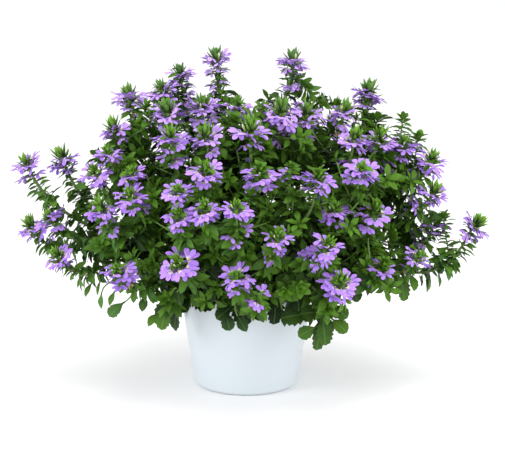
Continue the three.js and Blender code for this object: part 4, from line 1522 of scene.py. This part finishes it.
# The rings of a star of young leaves: the height, the count, the rise in degrees, the size, the shape and how
# far below a tip its leaves count as, which sets their green
STAR_RINGS = ((-0.005, 5, 12, 0.82, 2.4, 0.05), (-0.001, 5, 34, 0.78, 2.6, 0.03),
              (0.002, 5, 56, 0.70, 3.0, 0.01), (0.004, 4, 74, 0.52, 3.0, 0.0))


def star_rows(end, axis, draw, scale=1.0):
    """A star of young leaves, larger than a tuft."""
    turn = draw.random()
    return [whorl_row(end + axis * height, axis, copies, math.radians(rise), size * scale,
                      turn + order * 0.13, shape=shape, below=below)
            for order, (height, copies, rise, size, shape, below) in enumerate(STAR_RINGS)]


# The rings of a rosette, from the outer one: the count, the rise in degrees, the size and the shape. The
# outer ring sits below the end of the stem, and each of the others a step higher.
ROSETTE_RINGS = ((4, -4, 1.05, 6.0), (4, 14, 0.95, 5.5), (4, 34, 0.7, 5.0), (3, 60, 0.55, 3.5))
ROSETTE_DEPTH = 0.010
ROSETTE_STEP = 0.004


def rosette_rows(shoot, draw):
    """Rings of broad leaves at the end of a shoot without flowers."""
    rows = []
    for order, (copies, rise, size, shape) in enumerate(ROSETTE_RINGS):
        place = shoot.at - shoot.axis * (ROSETTE_DEPTH - ROSETTE_STEP * order)
        turn = order * 0.37 + draw.random()
        rows.append(whorl_row(place, shoot.axis, copies, math.radians(rise), size, turn, shape=shape,
                              below=0.12 - 0.03 * order))
    return rows


# Above this height the ruffs are fuller
HIGH = 0.33

# A head of less than this share of the common size has only two open flowers and no tuft
SMALL = 0.81

# Numbers of flower shapes: the middle of the fresh ones, the middle of the withered ones, and the range over
# which the tree spreads either, so that some dry flowers keep a fresh shape
FRESH_FAN = 1.5
DRY_FAN = 4.5
FAN_SPREAD = 3.0

# The ruff of a head: how far along the stem from its middle its flowers sit, and how they rise, in degrees
RUFF_SPOTS = (-0.0028, 0.0014)
RUFF_RISES = (-16, 16)
HIGH_RUFF_RISES = (-36, 30)

# The flowers below a ruff: how they hang, in degrees, and how far down the older tiers start and follow
HANGING = (-40, 0)
OLDER_START = 0.019
OLDER_STEP = 0.012

# The dry flower of a head: how far down it sits, how it hangs, in degrees, and its size
DRY_SPOTS = (0.016, 0.034)
DRY_HANGING = (-50, 0)
DRY_SIZE = 0.42


def is_small(shoot):
    return shoot.size < SMALL


def fan_row(place, axis, rises, size, sizes, draw, turn=None, age=0.0):
    """One open flower. Its rise in degrees and its size are drawn from ranges, and so is a missing turn."""
    rise = math.radians(draw.uniform(*rises))
    scale = size * draw.uniform(*sizes)
    turn = draw.random() if turn is None else turn
    return whorl_row(place, axis, 1, rise, scale, turn, shape=FRESH_FAN, age=age)


def flower_rows(shoot, bloom, draw):
    """The flowers of a shoot: a ruff, a looser tier under it, older tiers further down and a dry one."""
    axis = shoot.axis
    size = shoot.size * bloom.size
    turn = draw.random()
    rows = []
    high = shoot.at.z > HIGH
    fans = 2 if is_small(shoot) else FEWER_FANS.get(shoot.bloom, bloom.fans) + (2 if high else 0)
    for i in range(fans):
        place = shoot.at + axis * draw.uniform(*RUFF_SPOTS)
        rises = HIGH_RUFF_RISES if high else RUFF_RISES
        rows.append(fan_row(place, axis, rises, size, (0.94, 1.06), draw, turn + i / fans))
    for i in range(bloom.lower_fans if fans >= bloom.fans else 1):
        place = shoot.at - axis * draw.uniform(0.3, 1.4) * bloom.tier * size
        lower = fan_row(place, axis, HANGING, size, (0.75, 0.95), draw, turn + (i + 0.5) / bloom.lower_fans)
        rows.append({**lower, "age": draw.uniform(0, 0.25)})
    for tier in range(OLDER_TIERS.get(shoot.bloom, 0)):
        for i in range(3 if tier < 2 else 2):
            place, along = shoot.below((OLDER_START + OLDER_STEP * (tier + draw.random() * 0.6)) * size)
            rows.append(fan_row(place, along, HANGING, size, (0.74, 0.90), draw, age=0.12 + 0.1 * tier))
    place, along = shoot.below(draw.uniform(*DRY_SPOTS) * size)
    rise = math.radians(draw.uniform(*DRY_HANGING))
    rows.append(whorl_row(place, along, 1, rise, size * DRY_SIZE, draw.random(), shape=DRY_FAN, age=0.9))
    return rows


# Single leaves: how far they hang out to the front or the back, and which way their faces turn, by shares of
# their place to the side and to the front, and up
HANG_OUT = 0.4
FACE_SIDE = 0.4
FACE_FRONT = 2
FACE_UP = 0.6


def hung_leaves(name, paths):
    """Single leaves of a branch and the paths of the stalks that hold them. Their faces look out and up,
    and on the arms to the side of the arm that they grow on."""
    rows, stalks = [], []
    spots = [path.at(share / 20) for path in paths for share in range(2, 21)]
    for x, y, z, lean, kind in SINGLE_LEAVES.get(name, ()):
        bend = LEAVES[kind]["bend"]
        reach = LEAVES[kind]["reach"] * 2 * math.sin(bend / 2) / bend
        lean = math.radians(lean)
        along = Vector((math.sin(lean), math.copysign(HANG_OUT, y), -math.cos(lean))).normalized()
        root = Vector((x, y, z)) * MM - along * reach
        face = Vector((FACE_SIDE * root.x, FACE_FRONT * root.y, 0)).normalized()
        face = (face + UP * FACE_UP).normalized()
        seen = UP.rotation_difference(face).inverted() @ along
        rows.append(whorl_row(root, face, 1, math.asin(seen.z) + bend / 2, 1.0,
                              math.atan2(seen.y, seen.x) / TURN, shape=float(kind), below=0.1))
        start = min(spots, key=lambda spot: (spot - root).length)
        span = (root - start).length
        if span > 0.003:
            stalks.append(Path(start, start.lerp(root, 0.4) + UP * 0.15 * span,
                               root - along * 0.3 * span, root))
    return rows, stalks


# Operators


class PLANT_OT_pot(bpy.types.Operator):
    """Make the white pot"""
    bl_idname = "plant.make_pot"
    bl_label = "Pot"

    def execute(self, context):
        settings = context.scene.plant
        mesh = pot_mesh(settings.pot)
        mesh.materials.append(pot_material(settings))
        joined_piece("pot_shell", [mesh], ["pot"])
        return {"FINISHED"}


class PLANT_OT_mix(bpy.types.Operator):
    """Make the potting mix with its crumbs"""
    bl_idname = "plant.make_mix"
    bl_label = "Potting Mix"

    def execute(self, context):
        settings = context.scene.plant
        material = mix_material(settings)
        bed = bed_mesh(settings)
        bed.materials.append(material)
        shapes = shape_collection("crumb", crumb_shapes())
        crumbs = grown_mesh(bed_top(settings), crumb_tree(), shapes=shapes, material=material, seed=2,
                            density=settings.mix.crumbs, size=settings.mix.crumb)
        discard_collection(shapes)
        joined_piece("mix_bed", [bed, crumbs], ["potting_mix"])
        return {"FINISHED"}


class Foliage:
    """Makes the stalks and the leaves of one branch after another, from shapes, trees and materials that all
    branches share."""

    def __init__(self, settings):
        self.settings = settings
        self.leaf_green = leaf_material(settings)
        self.tip_green = tip_material(settings)
        self.stalk_green = stalk_material(settings)
        self.leaves = shape_collection("leaf", leaf_shapes())
        self.tips = shape_collection("tip", tip_shapes())
        self.spiral, self.whorl, self.stalks = leaves_tree(), whorl_tree(), stalk_tree()

    def discard_shapes(self):
        discard_collection(self.leaves)
        discard_collection(self.tips)

    def along(self, runs, seed, spacing):
        """Leaves in a spiral along stems."""
        leaf = self.settings.leaf
        return grown_mesh(stem_lines(runs), self.spiral, shapes=self.leaves, material=self.leaf_green,
                          seed=seed, spacing=spacing, rise=leaf.rise, hang=leaf.hang, face=leaf.face,
                          size=leaf.size)

    def rings(self, rows, seed, **spreads):
        """Leaves in rings at the ends of stems, and single ones."""
        return grown_mesh(point_mesh(rows), self.whorl, shapes=self.leaves, material=self.leaf_green,
                          seed=seed, **spreads)

    def tufts(self, rows, seed):
        """The narrow leaves and the buds of the flowering tips."""
        return grown_mesh(point_mesh(rows), self.whorl, shapes=self.tips, material=self.tip_green, seed=seed,
                          rise_spread=0.16, size_spread=0.14, roll=0.15)

    def branch(self, name, shoots, seed, draw):
        """The two pieces of a branch: its stalks and its leaves."""
        stem, leaf, node = self.settings.stem, self.settings.leaf, f"stem_{name}"
        green = grow_green(name, shoots)
        twigs = grow_twigs(shoots, self.settings, draw)
        long_runs = shoot_runs(shoots, stem) + twig_runs(green, stem)
        short_runs = twig_runs(twigs, stem)
        hung, leaf_stalks = hung_leaves(name, [shoot.path for shoot in shoots] + twigs + green)
        all_runs = long_runs + short_runs + twig_runs(leaf_stalks, stem)
        tubes = grown_mesh(stem_lines(all_runs), self.stalks, material=self.stalk_green, sides=6)
        joined_piece(f"stalks_{name}", [tubes], [node])

        ends = [row for shoot in shoots if not shoot.bloom for row in rosette_rows(shoot, draw)]
        ends += [row for twig in twigs for row in small_tip_rows(twig.at(1), twig.tangent(1), draw)]
        ends += [row for path in green for row in star_rows(path.at(1), path.tangent(1), draw)]
        ends += [row for shoot in shoots if shoot.bloom in STAR_TIPS
                 for row in star_rows(shoot.at + shoot.axis * 0.005, shoot.axis, draw, 0.8)]
        tufts = [row for shoot in shoots if shoot.bloom and not is_small(shoot)
                 for row in tip_rows(shoot, self.settings.tip, draw)]
        tufts += [row for shoot in shoots for row in close_rows(shoot, draw)]
        blades = [self.along(long_runs, seed, leaf.spacing),
                  self.along(short_runs, seed + 1, leaf.twig_spacing),
                  self.rings(ends, seed + 7, rise_spread=0.25, size_spread=0.2, shape_spread=1.0)]
        if hung:
            blades.append(self.rings(hung, seed + 9, rise_spread=0.0, size_spread=0.0, turn_spread=0.0))
        joined_piece(f"leaves_{name}", [*blades, self.tufts(tufts, seed + 20)], [node])


class PLANT_OT_foliage(bpy.types.Operator):
    """Make the stalks and the leaves of every branch"""
    bl_idname = "plant.make_foliage"
    bl_label = "Stems and Leaves"

    def execute(self, context):
        settings = context.scene.plant
        foliage = Foliage(settings)
        for order, (name, shoots) in enumerate(grow(settings).items()):
            foliage.branch(name, shoots, order * 50, random.Random(100 + order))
        foliage.discard_shapes()
        return {"FINISHED"}


class PLANT_OT_flowers(bpy.types.Operator):
    """Make the fan-shaped flowers of every bloom"""
    bl_idname = "plant.make_flowers"
    bl_label = "Flowers"

    def execute(self, context):
        settings = context.scene.plant
        heads = [shoot for shoots in grow(settings).values() for shoot in shoots if shoot.bloom]
        material = petal_material(settings)
        fans = shape_collection("fan", fan_shapes())
        whorl = whorl_tree()
        for bloom in sorted({head.bloom for head in heads}):
            draw = random.Random(300 + bloom)
            rows = [row for head in heads if head.bloom == bloom
                    for row in flower_rows(head, settings.bloom, draw)]
            mesh = grown_mesh(point_mesh(rows), whorl, shapes=fans, material=material, seed=bloom * 13,
                              rise_spread=0.1, size_spread=0.02, roll=0.5, turn_spread=0.2,
                              shape_spread=FAN_SPREAD)
            joined_piece(f"flowers_{bloom}", [mesh], [f"bloom_{bloom}"])
        discard_collection(fans)
        return {"FINISHED"}


# The lights: the place, the height over the origin that it is aimed at, the diameter and the power as a share
# of the key's power
LIGHTS = {
    "key": ((-1.9, -1.0, 1.1), 0.2, 1.4, 1.0),
    "fill": ((1.9, -0.9, 1.1), 0.2, 1.4, 0.85),
    "top": ((0.1, -0.5, 2.3), 0.2, 1.2, 0.7),
    "front": ((-0.2, -2.4, 0.25), 0.12, 1.0, 0.3),
}
FLOOR_REACH = 30.0


def turn_towards(thing, aim):
    thing.rotation_euler = (Vector(aim) - thing.location).to_track_quat("-Z", "Y").to_euler()


def add_floor(scene):
    reach = FLOOR_REACH
    mesh = bpy.data.meshes.new("floor")
    mesh.from_pydata([(-reach, -reach, 0), (reach, -reach, 0), (reach, reach, 0), (-reach, reach, 0)], [],
                     [(0, 1, 2, 3)])
    mesh.materials.append(floor_material())
    floor = bpy.data.objects.new("floor", mesh)
    scene.collection.objects.link(floor)


def add_lights(scene, stage):
    world = bpy.data.worlds.new("even light")
    world.use_nodes = True
    sky = world.node_tree.nodes["Background"]
    sky.inputs["Color"].default_value = (1, 1, 1, 1)
    sky.inputs["Strength"].default_value = stage.sky
    scene.world = world
    for name, (place, aim, size, share) in LIGHTS.items():
        light = bpy.data.lights.new(name, "AREA")
        light.shape = "DISK"
        light.size = size
        light.energy = stage.key * share
        lamp = bpy.data.objects.new(name, light)
        lamp.location = place
        turn_towards(lamp, (0, 0, aim))
        scene.collection.objects.link(lamp)


def add_camera(scene, stage):
    lens = bpy.data.cameras.new("camera")
    lens.lens = stage.lens
    lens.clip_end = 100.0
    camera = bpy.data.objects.new("camera", lens)
    camera.location = (stage.aside, -stage.distance, stage.height)
    turn_towards(camera, (stage.aside, 0, stage.aim))
    scene.collection.objects.link(camera)
    scene.camera = camera


class PLANT_OT_stage(bpy.types.Operator):
    """Make the floor, the lights and the camera"""
    bl_idname = "plant.set_stage"
    bl_label = "Stage"

    def execute(self, context):
        scene = context.scene
        add_floor(scene)
        add_lights(scene, scene.plant.stage)
        add_camera(scene, scene.plant.stage)
        scene.view_settings.view_transform = "Standard"
        return {"FINISHED"}


# Panel


class PLANT_PT_panel(bpy.types.Panel):
    """Lists the pieces of the plant and their sizes"""
    bl_label = "Potted Fan Flower"
    bl_idname = "PLANT_PT_panel"
    bl_space_type = "VIEW_3D"
    bl_region_type = "UI"
    bl_category = "Plant"

    def draw(self, context):
        settings = context.scene.plant
        for operator in OPERATORS:
            self.layout.operator(operator.bl_idname)
        for name in ("pot", "mix", "stem", "leaf", "bloom", "tip", "stage"):
            box = self.layout.box()
            box.label(text=name.capitalize())
            held = getattr(settings, name)
            for size in held.__annotations__:
                box.prop(held, size)


SETTINGS = (PotSettings, MixSettings, StemSettings, LeafSettings, BloomSettings, TipSettings, StageSettings,
            PlantSettings)
OPERATORS = (PLANT_OT_pot, PLANT_OT_mix, PLANT_OT_foliage, PLANT_OT_flowers, PLANT_OT_stage)


def register():
    for kind in (*SETTINGS, *OPERATORS, PLANT_PT_panel):
        bpy.utils.register_class(kind)
    bpy.types.Scene.plant = bpy.props.PointerProperty(type=PlantSettings)


def unregister():
    del bpy.types.Scene.plant
    for kind in reversed((*SETTINGS, *OPERATORS, PLANT_PT_panel)):
        bpy.utils.unregister_class(kind)


def main():
    register()
    for made in list(bpy.data.objects):
        if made.name in ("Cube", "Light", "Camera"):
            bpy.data.objects.remove(made)
    bpy.ops.plant.make_pot()
    bpy.ops.plant.make_mix()
    bpy.ops.plant.make_foliage()
    bpy.ops.plant.make_flowers()
    bpy.ops.plant.set_stage()


if __name__ == "__main__":
    main()
